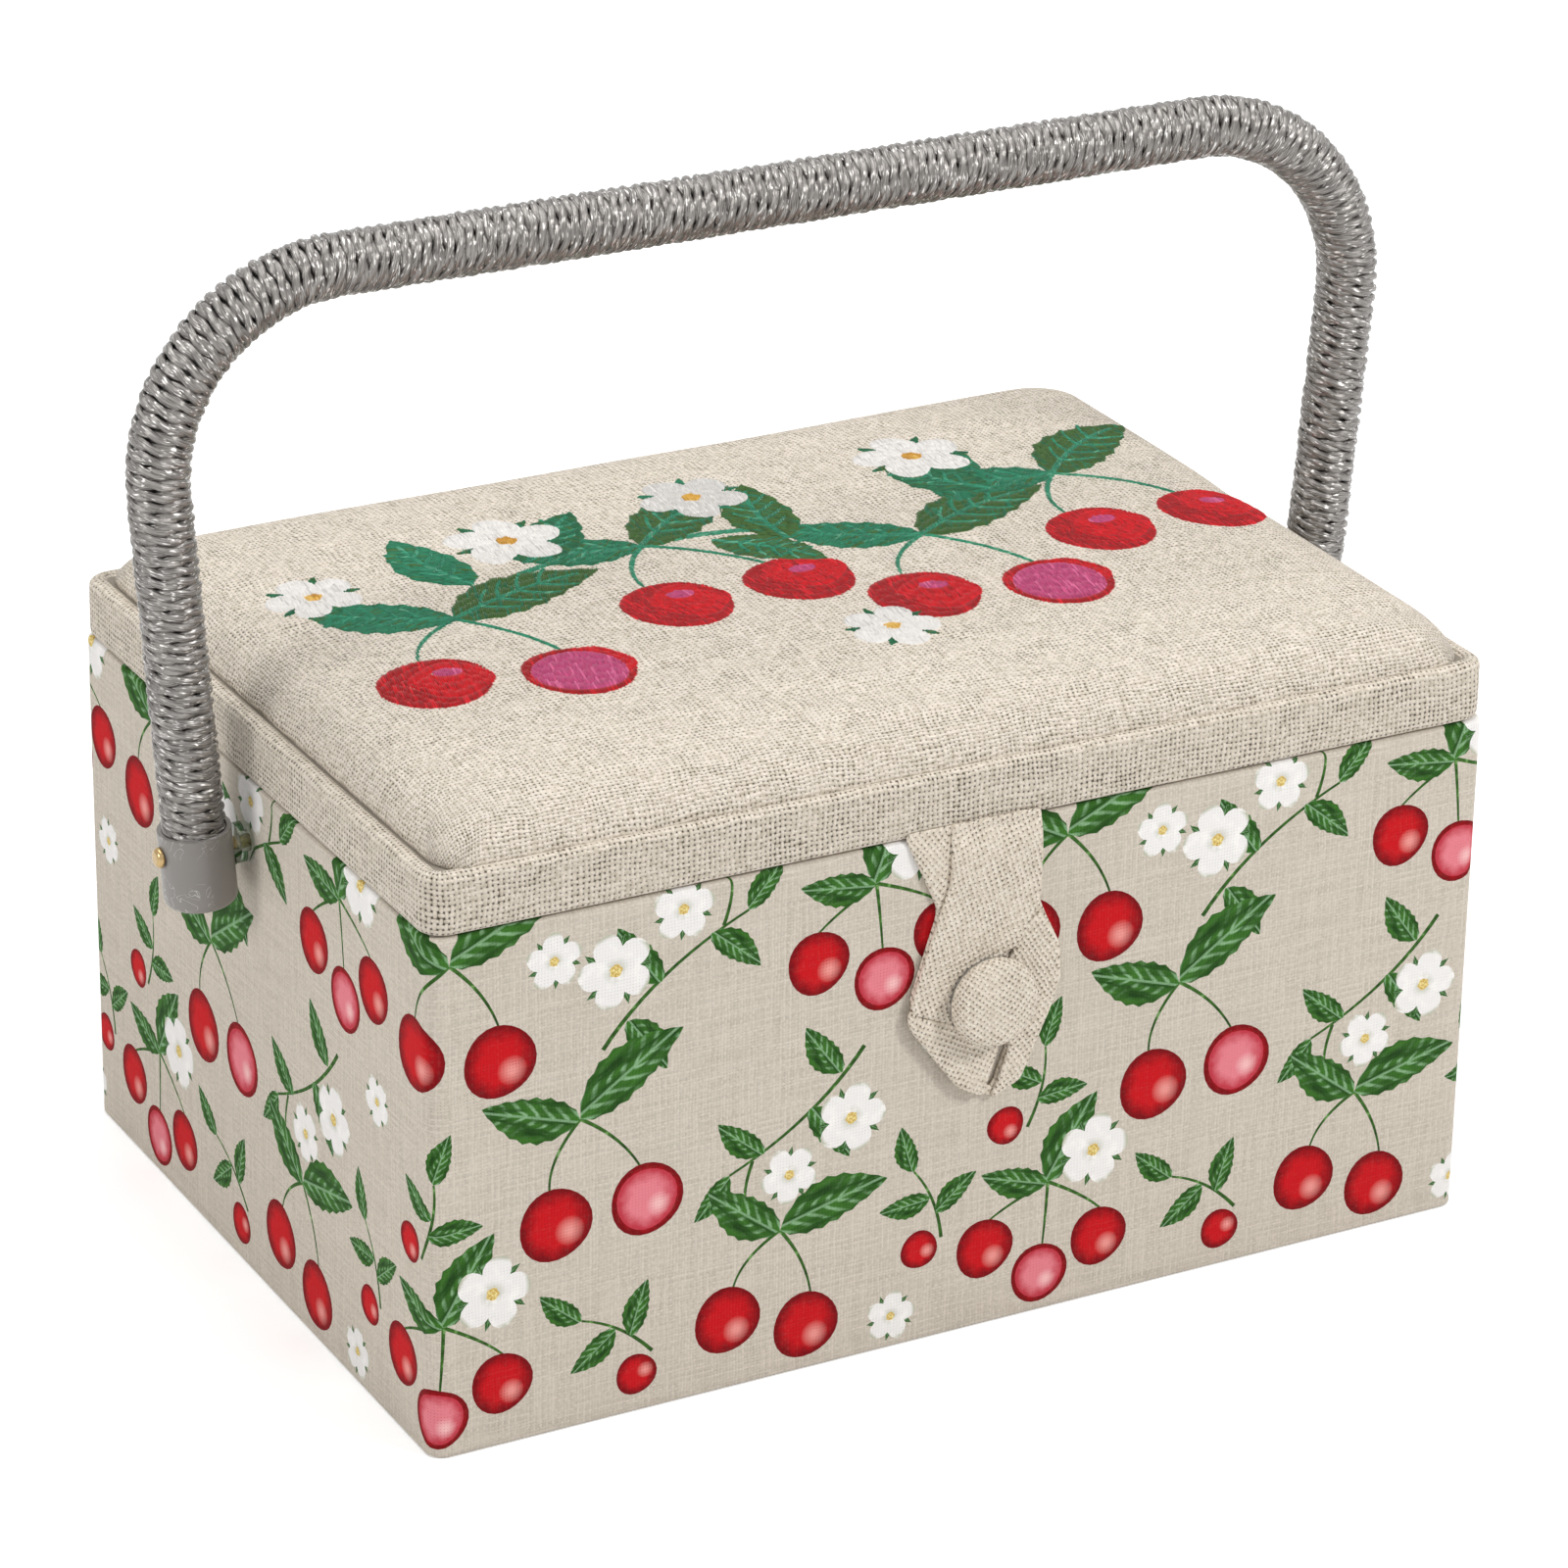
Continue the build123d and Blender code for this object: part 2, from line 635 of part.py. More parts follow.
# Clear moulded tray with a rim that rests on the ledges
tray_floor = tray_top - tray_height
with BuildPart() as tray:
    with BuildSketch(Plane.XY.offset(tray_floor)):
        RectangleRounded(tray_body_x, tray_body_y, tray_corner)
    extrude(amount=tray_height)
    with BuildSketch(Plane.XY.offset(tray_top - tray_wall)):
        RectangleRounded(tray_rim_x, tray_rim_y, tray_corner + tray_rim_width)
    extrude(amount=tray_wall)
    with BuildSketch(Plane.XY.offset(tray_floor + tray_wall)):
        RectangleRounded(tray_body_x - 2 * tray_wall, tray_body_y - 2 * tray_wall,
                         tray_corner - tray_wall)
    extrude(amount=tray_height, mode=Mode.SUBTRACT)
    divider_middle = tray_floor + (tray_wall + tray_divider_height) / 2
    divider_rise = tray_divider_height - tray_wall
    with Locations((0, tray_long_divider_y, divider_middle)):
        Box(tray_body_x - tray_wall, tray_divider, divider_rise)
    back_room = tray_body_y / 2 - tray_wall - tray_long_divider_y
    back_middle = tray_long_divider_y + back_room / 2
    with Locations((-tray_short_divider_x, back_middle, divider_middle),
                   (tray_short_divider_x, back_middle, divider_middle)):
        Box(tray_divider, back_room + tray_wall, divider_rise)
tray.part.label = "tray"
export_step(tray.part, "parts/tray.step")
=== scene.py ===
"""Looks of a sewing box: printed cotton walls, a padded linen lid with stitched motifs, a wound handle.

Lengths are in millimetres where nothing else is said.
"""

import logging
import random
from collections.abc import Sequence
from dataclasses import dataclass
from enum import Enum
from itertools import accumulate
from math import atan2, ceil, cos, degrees, dist, exp, inf, pi, radians, sin, tan

import bmesh
import bpy
import numpy as np
from bmesh.types import BMesh
from mathutils import Matrix, Vector
from mathutils.bvhtree import BVHTree
from mathutils.geometry import delaunay_2d_cdt


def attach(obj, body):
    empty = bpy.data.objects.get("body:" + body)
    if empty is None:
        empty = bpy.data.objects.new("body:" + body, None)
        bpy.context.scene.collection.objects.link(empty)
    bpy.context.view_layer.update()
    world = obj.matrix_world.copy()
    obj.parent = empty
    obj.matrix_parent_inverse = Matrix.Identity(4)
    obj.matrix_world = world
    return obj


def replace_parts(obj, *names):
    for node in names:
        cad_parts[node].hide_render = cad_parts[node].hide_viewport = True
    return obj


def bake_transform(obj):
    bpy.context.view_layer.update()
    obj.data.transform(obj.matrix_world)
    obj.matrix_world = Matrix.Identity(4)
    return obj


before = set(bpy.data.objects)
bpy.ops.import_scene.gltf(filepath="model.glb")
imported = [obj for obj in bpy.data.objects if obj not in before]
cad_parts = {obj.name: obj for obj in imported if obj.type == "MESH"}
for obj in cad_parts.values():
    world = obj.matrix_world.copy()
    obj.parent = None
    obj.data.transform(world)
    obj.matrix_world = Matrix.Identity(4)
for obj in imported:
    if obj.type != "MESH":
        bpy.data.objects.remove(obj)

LOG = logging.getLogger("sewing_box")
MM = 0.001
CLOTH_UV = "cloth"
MOTIF_UV = "motif"

Point = tuple[float, float]
Grid = list[list[tuple[Vector, Point]]]
Socket = bpy.types.NodeSocket
Tree = bpy.types.NodeTree
Mesh = bpy.types.Mesh
Piece = bpy.types.Object


def linear(colour: str) -> tuple[float, float, float, float]:
    """Turn a colour into linear light.

    Args:
        colour: the sRGB colour as #rrggbb.

    Returns:
        Its linear red, green and blue, with full alpha.
    """
    parts = [int(colour[i:i + 2], 16) / 255 for i in (1, 3, 5)]
    values = [p / 12.92 if p <= 0.04045 else ((p + 0.055) / 1.055) ** 2.4 for p in parts]
    return (*values, 1.0)


def join(tree: Tree, place: Socket, value: object) -> None:
    """Feed one input.

    Args:
        tree: the node tree.
        place: the input socket.
        value: the output socket or the constant that feeds it.
    """
    if isinstance(value, bpy.types.NodeSocket):
        tree.links.new(value, place)
    else:
        place.default_value = value


def add(tree: Tree, kind: str, *inputs: object, out: str | None = None, **named: object) -> Socket:
    """Add one shader node and join it up.

    Args:
        tree: the node tree that gets the node.
        kind: the node's type without its ShaderNode prefix, with its operation or data type after a dot.
        inputs: what feeds the inputs that are in use, in order.
        out: the name of the output that is returned, or None for the first in use.
        named: the node's own properties, and what feeds inputs by their names.

    Returns:
        The chosen output socket.
    """
    kind, _, mode = kind.partition(".")
    node = tree.nodes.new(f"ShaderNode{kind}")
    if mode:
        setattr(node, "data_type" if kind == "Mix" else "operation", mode)
    for place, value in zip([socket for socket in node.inputs if socket.enabled], inputs):
        join(tree, place, value)
    for name, value in named.items():
        if name in node.inputs:
            join(tree, node.inputs[name], value)
        else:
            setattr(node, name, value)
    return node.outputs[out] if out else next(socket for socket in node.outputs if socket.enabled)


class Coordinates(Enum):
    """Where a finish takes its flat coordinates from."""

    CUT = "the piece's own cloth UV map, in metres"
    BLOCK = "the piece's place in the box, chosen by the way each face looks"


@dataclass(frozen=True)
class Finish:
    """A surface finish that makes its material once.

    Attributes:
        name: the material's name.
        coordinates: where the flat coordinates come from.
    """

    name: str
    coordinates: Coordinates = Coordinates.CUT

    def material(self) -> bpy.types.Material:
        """Return this finish's material, made at the first call.

        Returns:
            The material.
        """
        found = bpy.data.materials.get(self.name)
        if found:
            return found
        made = bpy.data.materials.new(self.name)
        made.use_nodes = True
        tree = made.node_tree
        shader = tree.nodes["Principled BSDF"]
        for name, value in self.dress(tree).items():
            join(tree, shader.inputs[name], value)
        return made

    def dress(self, tree: Tree) -> dict[str, object]:
        """Return what feeds the principled shader's inputs; each finish has its own way."""
        raise NotImplementedError

    def flat(self, tree: Tree) -> Socket:
        """Take the flat coordinates from where the finish has them.

        Args:
            tree: the node tree.

        Returns:
            The flat coordinates in metres.
        """
        if self.coordinates is Coordinates.CUT:
            return add(tree, "UVMap", uv_map=CLOTH_UV)
        place = add(tree, "TexCoord", out="Object")
        normal = add(tree, "TexCoord", out="Normal")
        x, y, z = add(tree, "SeparateXYZ", place).node.outputs
        upward = add(tree, "SeparateXYZ", normal, out="Z")
        steepness = add(tree, "Math.ABSOLUTE", upward)
        level = add(tree, "Math.GREATER_THAN", steepness, 0.5)
        round_wall = add(tree, "Math.ADD", x, y)
        lying = add(tree, "CombineXYZ", x, y)
        standing = add(tree, "CombineXYZ", round_wall, z)
        return add(tree, "Mix.VECTOR", level, standing, lying)


@dataclass(frozen=True)
class Plain(Finish):
    """A plain moulded, cast or fibrous finish with a fine uneven surface.

    Attributes:
        SCRATCHED: the colour of its scratches.
        UNEVEN: how far the roughness strays, as a share.
        colour: the middle colour.
        dark: the colour of its low spots.
        roughness: the shader's roughness.
        metallic: 1 for metal.
        transmission: the share of light that passes through.
        ior: the refractive index, or None to keep the shader's own.
        grain: size of the surface's unevenness.
        relief: height of the unevenness.
        streak: how much longer the unevenness is one way than the other.
        scuffs: strength of thin pale scratches.
        sheen: soft glow of fibres at grazing angles.
    """

    SCRATCHED = "#d9d6d2"
    UNEVEN = 0.15

    colour: str = "#808080"
    dark: str = "#707070"
    roughness: float = 0.5
    metallic: float = 0.0
    transmission: float = 0.0
    ior: float | None = None
    grain: float = 1.0
    relief: float = 0.02
    streak: float = 1.0
    scuffs: float = 0.0
    sheen: float = 0.0

    def dress(self, tree: Tree) -> dict[str, object]:
        """Lay a fine noise over the colour, the roughness and the height.

        Args:
            tree: the node tree.

        Returns:
            What feeds the principled shader's inputs.
        """
        place = add(tree, "TexCoord", out="Object")
        stretched = add(tree, "Mapping", place, Scale=(1.0, 1.0, 1 / self.streak))
        noise = add(tree, "TexNoise", stretched, Scale=1 / (self.grain * MM), Detail=4.0)
        colour = add(tree, "Mix.RGBA", noise, linear(self.dark), linear(self.colour))
        height = noise
        if self.scuffs:
            scratch = self.scratches(tree, place)
            colour = add(tree, "Mix.RGBA", scratch, colour, linear(self.SCRATCHED))
            height = add(tree, "Math.ADD", noise, scratch)
        rough = add(tree, "MapRange", noise, 0.0, 1.0, self.roughness * (1 - self.UNEVEN),
                    self.roughness * (1 + self.UNEVEN))
        return {
            "Base Color": colour, "Roughness": rough, "Metallic": self.metallic,
            "Transmission Weight": self.transmission, "Sheen Weight": self.sheen,
            "Normal": add(tree, "Bump", Strength=1.0, Distance=self.relief * MM, Height=height),
            **({} if self.ior is None else {"IOR": self.ior}),
        }

    def scratches(self, tree: Tree, place: Socket) -> Socket:
        """Draw hairline scratches along the middle lines of a noise, in patches.

        Args:
            tree: the node tree.
            place: the coordinates in metres.

        Returns:
            The scratches' strength, 0 between them.
        """
        lines = add(tree, "TexNoise", place, Scale=260.0, Detail=1.0, Distortion=1.4)
        off_line = add(tree, "Math.SUBTRACT", lines, 0.5)
        distance = add(tree, "Math.ABSOLUTE", off_line)
        line = add(tree, "MapRange", distance, 0.0, 0.016, self.scuffs, 0.0)
        patches = add(tree, "TexNoise", place, Scale=110.0, Detail=0.0)
        patch = add(tree, "MapRange", patches, 0.52, 0.6)
        return add(tree, "Math.MULTIPLY", line, patch)


@dataclass(frozen=True)
class Cloth(Finish):
    """A plain-woven cloth drawn thread by thread.

    Attributes:
        OVER: how much higher a thread lies where it passes over another.
        colour: the thread's light colour.
        dark: the thread's darker slubs.
        hole: the colour in the gaps between the threads, the backing seen there darkened with painted
            shade.
        pitch: distance between threads.
        relief: height of the weave.
        hole_level: weave height below which the hole colour shows.
        wander: how far the threads stray, in threads.
        slub: length of the thick spots of a thread, in threads.
        beads: how much of the unevenness is bead by bead, and not along the thread.
        roughness: the shader's roughness.
        sheen: soft glow of the fibres at grazing angles.
        specular: strength of the fibres' plain reflection.
    """

    OVER = 0.45

    colour: str = "#c4bdb0"
    dark: str = "#b0a898"
    hole: str = "#8f8778"
    pitch: float = 0.5
    relief: float = 0.12
    hole_level: float = 0.4
    wander: float = 0.25
    slub: float = 24.0
    beads: float = 0.3
    roughness: float = 0.92
    sheen: float = 0.15
    specular: float = 0.25

    def dress(self, tree: Tree) -> dict[str, object]:
        """Weave the threads, then paint them.

        Args:
            tree: the node tree.

        Returns:
            What feeds the principled shader's inputs.
        """
        cells = self.cells(tree)
        height, tone = self.weave(tree, cells)
        painted = self.paint(tree, tone)
        # Painted shade: where the weave lies low, the gaps take the darker hole colour.
        packing = add(tree, "TexNoise", cells, Scale=0.17, Detail=1.0)
        packed = add(tree, "Math.MULTIPLY_ADD", packing, self.hole_level * 1.6, height)
        open_part = add(tree, "MapRange", packed, self.hole_level * 1.25, self.hole_level * 2.2, 1.0, 0.0)
        colour = add(tree, "Mix.RGBA", open_part, painted, linear(self.hole))
        return {
            "Base Color": colour, "Roughness": self.roughness, "Sheen Weight": self.sheen,
            "Specular IOR Level": self.specular,
            "Normal": add(tree, "Bump", Strength=1.0, Distance=self.relief * MM, Height=height),
        }

    def cells(self, tree: Tree) -> Socket:
        """Count the flat coordinates in threads, with the threads straying a little.

        Args:
            tree: the node tree.

        Returns:
            The coordinates in threads.
        """
        flat = self.flat(tree)
        counted = add(tree, "VectorMath.SCALE", flat, 1 / (self.pitch * MM))
        stray = add(tree, "TexNoise", counted, Scale=0.11, Detail=2.0, out="Color")
        centred = add(tree, "VectorMath.SUBTRACT", stray, (0.5, 0.5, 0.5))
        shift = add(tree, "VectorMath.SCALE", centred, self.wander * 4)
        return add(tree, "VectorMath.ADD", counted, shift)

    def weave(self, tree: Tree, cells: Socket) -> tuple[Socket, Socket]:
        """Weave two sets of round threads over and under each other.

        Args:
            tree: the node tree.
            cells: the coordinates in threads.

        Returns:
            The weave's height and the tone of its slubs, both 0 to 1.
        """
        heights, tones = [], []
        across, along = add(tree, "SeparateXYZ", cells).node.outputs[:2]
        turns = [add(tree, "Math.MULTIPLY", c, pi) for c in (across, along)]
        waves = [add(tree, "Math.SINE", turn) for turn in turns]
        for own, other, over, stretch in (
            (waves[0], waves[1], self.OVER, (1.0, 1 / self.slub, 1.0)),
            (waves[1], waves[0], -self.OVER, (1 / self.slub, 1.0, 1.0)),
        ):
            longways = add(tree, "VectorMath.MULTIPLY", cells, stretch)
            slub = add(tree, "TexNoise", longways, Scale=1.0, Detail=1.0)
            knot = add(tree, "TexNoise", cells, Scale=0.9, Detail=0.0)
            slub = add(tree, "Mix.FLOAT", self.beads, slub, knot)
            round_thread = add(tree, "Math.ABSOLUTE", own)
            side = add(tree, "Math.SIGN", own)
            rise = add(tree, "Math.MULTIPLY", other, side)
            lift = add(tree, "Math.MULTIPLY_ADD", rise, over, 0.3)
            thick = add(tree, "Math.MULTIPLY_ADD", slub, 0.9, lift)
            heights.append(add(tree, "Math.MULTIPLY", round_thread, thick))
            tones.append(slub)
        height = add(tree, "Math.MAXIMUM", heights[0], heights[1])
        on_top = add(tree, "Math.GREATER_THAN", heights[0], heights[1])
        tone = add(tree, "Mix.FLOAT", on_top, tones[1], tones[0])
        return height, tone

    def paint(self, tree: Tree, tone: Socket) -> Socket:
        """Return the threads' colour, mixed of their two tones by the tone of the slubs."""
        share = add(tree, "MapRange", tone, 0.3, 0.62)
        return add(tree, "Mix.RGBA", share, linear(self.dark), linear(self.colour))


class Ink(Enum):
    """The printed colours of the wall cloth, each with its own drawing."""

    GROUND = "cotton_ground"
    STEM = "print_stem"
    LEAF = "print_leaf"
    CHERRY = "print_cherry"
    BLUSH = "print_blush"
    PETAL = "print_petal"
    POLLEN = "print_pollen"


INK_TONES = {
    Ink.STEM: ("#24421a", "#3c6628", "#6f9a58"),
    Ink.LEAF: ("#1c3f14", "#3c6e28", "#9cc49a"),
    Ink.CHERRY: ("#770a12", "#c5141c", "#f0a8a0"),
    Ink.BLUSH: ("#bc3a48", "#e0808a", "#f4c8c6"),
    Ink.PETAL: ("#b8b9a6", "#ebe8e6", "#f3f0ed"),
    Ink.POLLEN: ("#b48a3a", "#e6d288", "#f2e6b0"),
}


@dataclass(frozen=True)
class Printed(Cloth):
    """The printed cotton: the same fine weave under each ink.

    Attributes:
        ink: the ink that this part of the cloth carries.
    """

    ink: Ink = Ink.GROUND

    def paint(self, tree: Tree, tone: Socket) -> Socket:
        """Print the ink over the threads.

        Args:
            tree: the node tree.
            tone: the tone of the slubs, over which the ink is worn thin.

        Returns:
            The ink's colour, drawn from the motif's own along and across coordinates.
        """
        ground = super().paint(tree, tone)
        if self.ink is Ink.GROUND:
            return ground
        shade, pale = self.drawing(tree)
        dark, middle, light = (linear(c) for c in INK_TONES[self.ink])
        body = add(tree, "Mix.RGBA", shade, dark, middle)
        drawn = add(tree, "Mix.RGBA", pale, body, light)
        worn = add(tree, "MapRange", tone, 0.3, 0.5, 0.97, 1.0)
        return add(tree, "Mix.RGBA", worn, ground, drawn)

    def drawing(self, tree: Tree) -> tuple[Socket, Socket]:
        """Draw the ink in the motif's own coordinates.

        Args:
            tree: the node tree.

        Returns:
            The shares of the ink's middle tone and of its pale one.
        """
        motif = add(tree, "UVMap", uv_map=MOTIF_UV)
        washes = add(tree, "TexNoise", motif, Scale=2.6, Detail=3.0)
        if self.ink is Ink.LEAF:
            # Slanting pale brush strokes on both sides of a midrib.
            along, across = add(tree, "SeparateXYZ", motif).node.outputs[:2]
            side = add(tree, "Math.ABSOLUTE", across)
            vein_phase = add(tree, "Math.MULTIPLY", side, -12.0)
            stray = add(tree, "Math.MULTIPLY_ADD", washes, 6.0, vein_phase)
            vein_turn = add(tree, "Math.MULTIPLY_ADD", along, 42.0, stray)
            vein = add(tree, "Math.SINE", vein_turn)
            strokes = add(tree, "MapRange", vein, 0.1, 1.0, 0.0, 0.7)
            uneven = add(tree, "MapRange", washes, 0.42, 0.58)
            inner = add(tree, "MapRange", side, 0.85, 0.3)
            brush = add(tree, "Math.MULTIPLY", strokes, uneven)
            brush = add(tree, "Math.MULTIPLY", brush, inner)
            midrib = add(tree, "MapRange", side, 0.07, 0.03, 0.0, 0.55)
            pale = add(tree, "Math.MAXIMUM", brush, midrib)
            return add(tree, "MapRange", washes, 0.35, 0.62), pale
        if self.ink in (Ink.CHERRY, Ink.BLUSH):
            # A dark rim and a round pale highlight.
            radius = add(tree, "VectorMath.LENGTH", motif)
            offset = add(tree, "VectorMath.SUBTRACT", motif, (0.34, -0.3, 0.0))
            spot = add(tree, "VectorMath.LENGTH", offset)
            pale = add(tree, "MapRange", spot, 0.42, 0.08, 0.0, 0.75)
            lean = add(tree, "Math.MULTIPLY_ADD", washes, 0.55, radius)
            return add(tree, "MapRange", lean, 1.2, 0.8), pale
        if self.ink is Ink.PETAL:
            # A shaded edge and heart.
            radius = add(tree, "VectorMath.LENGTH", motif)
            edge = add(tree, "MapRange", radius, 0.96, 0.86)
            core = add(tree, "MapRange", radius, 0.16, 0.36, 0.4)
            shade = add(tree, "Math.MULTIPLY", edge, core)
            return shade, add(tree, "MapRange", washes, 0.5, 0.65)
        pale = add(tree, "MapRange", washes, 0.58, 0.66)
        return add(tree, "MapRange", washes, 0.35, 0.55), pale


@dataclass(frozen=True)
class Strand(Finish):
    """A twisted or stitched thread whose fine fibres run along it.

    Attributes:
        FLECK: width of a pale fleck of painted highlight.
        PAINTED_GLINT: the colour of the painted highlight flecks.
        colour: the thread's colour.
        dark: the colour between its fibres.
        roughness: the shader's roughness.
        metallic: how much of the thread is metallised.
        fibre: width of a fibre.
        relief: height of the fibres.
        sheen: soft glow at grazing angles.
        specular: strength of the thread's plain reflection.
        painted_glints: strength of the short pale flecks of painted highlight, laid at random along the
            thread.
    """

    FLECK = 0.62
    PAINTED_GLINT = "#f4f1ee"

    colour: str = "#8f8c88"
    dark: str = "#5d5a57"
    roughness: float = 0.4
    metallic: float = 0.0
    fibre: float = 0.14
    relief: float = 0.05
    sheen: float = 0.1
    specular: float = 0.5
    painted_glints: float = 0.0

    def dress(self, tree: Tree) -> dict[str, object]:
        """Run long fibres along the thread, with short pale flecks of painted highlight.

        Args:
            tree: the node tree.

        Returns:
            What feeds the principled shader's inputs.
        """
        flat = self.flat(tree)
        drawn_out = add(tree, "VectorMath.MULTIPLY", flat, (0.07, 1.0, 1.0))
        fibres = add(tree, "TexNoise", drawn_out, Scale=1 / (self.fibre * MM), Detail=2.0)
        share = add(tree, "MapRange", fibres, 0.3, 0.6)
        colour = add(tree, "Mix.RGBA", share, linear(self.dark), linear(self.colour))
        # Painted highlight: short pale flecks at random along the thread, standing in for the shine of flat
        # fibres.
        if self.painted_glints:
            short = add(tree, "VectorMath.MULTIPLY", flat, (0.42, 1.0, 1.0))
            flecks = add(tree, "TexNoise", short, Scale=1 / (self.FLECK * MM), Detail=0.0)
            fleck = add(tree, "MapRange", flecks, 0.66, 0.74, 0.0, self.painted_glints)
            colour = add(tree, "Mix.RGBA", fleck, colour, linear(self.PAINTED_GLINT))
        return {
            "Base Color": colour, "Roughness": self.roughness, "Metallic": self.metallic,
            "Sheen Weight": self.sheen, "Specular IOR Level": self.specular,
            "Normal": add(tree, "Bump", Strength=1.0, Distance=self.relief * MM, Height=fibres),
        }


# A fine cotton, thread by thread, with faint upright slubs, so the print looks woven and not painted on.
# Its real threads are about 0.5 mm apart, too fine to show from here, so they are drawn 0.74 mm apart.
PRINTED = {ink: Printed(ink.value, ink=ink, colour="#d1c8bb", dark="#b9b0a2",
                        hole=INK_TONES[ink][0] if ink in INK_TONES else "#988f80", pitch=0.74, relief=0.05,
                        hole_level=0.22, slub=26, beads=0.3, sheen=0.03, specular=0.12) for ink in Ink}
# A coarse open linen, its gaps painted darker than its threads as painted shade, which is what marks the
# lid off from the walls.
# All the linens are drawn a little coarser than the real one, so that their gaps show.
LINEN = Cloth("open_linen", colour="#eadfd1", dark="#cdc2b0", hole="#5e5343", pitch=1.18, relief=0.42,
              hole_level=0.35, wander=0.75, slub=5, beads=0.78, roughness=0.95)
# The same linen pulled tight round the lid's frame: its gaps open wider, and its threads and gaps are
# painted darker than the pad's, painted shade for the band's upright sides.
BAND_LINEN = Cloth("stretched_shaded_linen", colour="#e4d9ca", dark="#c6bba9", hole="#4c4234", pitch=1.22,
                   relief=0.42, hole_level=0.39, wander=0.45, slub=6, beads=0.6, roughness=0.95)
# The loop and the button are cut from a denser piece of the same linen.
LOOP_LINEN = Cloth("folded_linen", colour="#ece1d1", dark="#d2c5b2", hole="#64584a", pitch=1.16,
                   relief=0.42, hole_level=0.33, wander=0.4, slub=6, beads=0.6)
# A smooth off-white lining, so the inside looks lined and not like raw board.
LINING = Cloth("lining_cotton", Coordinates.BLOCK, colour="#e6dfd3", dark="#dcd4c7", hole="#c2b9aa",
               pitch=0.5, relief=0.04, hole_level=0.2)
# The lining's cotton again, painted a little darker as painted shade, so the pocket's gathers stand out
# from the lid behind them.
POCKET_CLOTH = Cloth("pocket_cotton", colour="#e3dbce", dark="#d8cfc0", hole="#bcb3a3", pitch=0.5,
                     relief=0.05, hole_level=0.2)
# A grey-brown cotton under the base, plain and dull, so the underside looks finished but not printed.
BASE_CLOTH = Cloth("base_cotton", Coordinates.BLOCK, colour="#8d877e", dark="#7b756c", hole="#56514a",
                   pitch=0.7, relief=0.08)
# A satin ribbon, finer and shinier than the cloths beside it.
RIBBON = Cloth("stay_ribbon", colour="#e9e2d6", dark="#ded6c8", hole="#c9c0b1", pitch=0.35, relief=0.05,
               roughness=0.5, sheen=0.3, hole_level=0.2)
# Covered elastic, whose thick weave makes its small ruches look springy.
ELASTIC = Cloth("ruched_elastic", colour="#ece7de", dark="#dcd5c9", hole="#b7afa2",
                pitch=0.6, relief=0.12)
# A shiny grey two-ply cord with dark fibre lines: its shine and the pale flecks of painted highlight along
# each ply show the winding.
CORD = Strand("winding_cord", colour="#9c9894", dark="#504c49", roughness=0.22, metallic=0.6, fibre=0.24,
              relief=0.2, sheen=0.0, painted_glints=0.8)
# Smooth grey plastic with hairline scuffs, duller than the cord beside it.
CAP_PLASTIC = Plain("moulded_cap", colour="#8b8783", dark="#817d79", roughness=0.4, grain=6, relief=0.01,
                    scuffs=0.75)
# Dull plastic painted dark as painted shade, so that the gaps between the cord's turns look deep.
CORE_PLASTIC = Plain("moulded_core", colour="#4f4c4a", dark="#454240", roughness=0.5, grain=2)
# A lightly brushed yellow brass that catches one small glint at the pin's dome.
BRASS = Plain("pin_brass", colour="#c8ae80", dark="#9c8258", roughness=0.2, metallic=1.0, grain=0.4,
              relief=0.004)
# Pressed light metal with a blurred reflection, a cold edge behind the button's cloth.
SHELL_METAL = Plain("button_metal", colour="#b9bbbc", dark="#a4a6a8", roughness=0.35, metallic=1.0,
                    grain=0.5, relief=0.004)
# Greenish clear tube that bends the light of the pin inside it.
CLEAR_PLASTIC = Plain("spacer_clear", colour="#e4f0e8", dark="#d9ebdf", roughness=0.06, transmission=1.0,
                      ior=1.49, grain=3, relief=0.002)
# Thin clear moulded plastic, a little cloudy, so the box's inside shows through it.
TRAY_PLASTIC = Plain("tray_clear", colour="#eef2f2", dark="#e4eaea", roughness=0.12, transmission=0.85,
                     ior=1.49, grain=12, relief=0.01)
# Grey board, matt, with its fibres one way, which tells it from the cloths glued on it.
BOARD = Plain("grey_board", colour="#8e867a", dark="#7f776b", roughness=0.9, grain=0.8, relief=0.05,
              streak=4)
# Loose white wadding, soft and without any shine.
WADDING = Plain("wadding_fibre", colour="#efece6", dark="#d9d5cc", roughness=1.0, grain=1.6, relief=0.6,
                streak=3, sheen=0.4)
# Sewing thread in the linen's colour, so the button looks sewn on.
BUTTON_THREAD = Plain("button_thread", colour="#d8ccbb", dark="#b9ad9c", roughness=0.7, grain=0.3,
                      relief=0.05, streak=6)


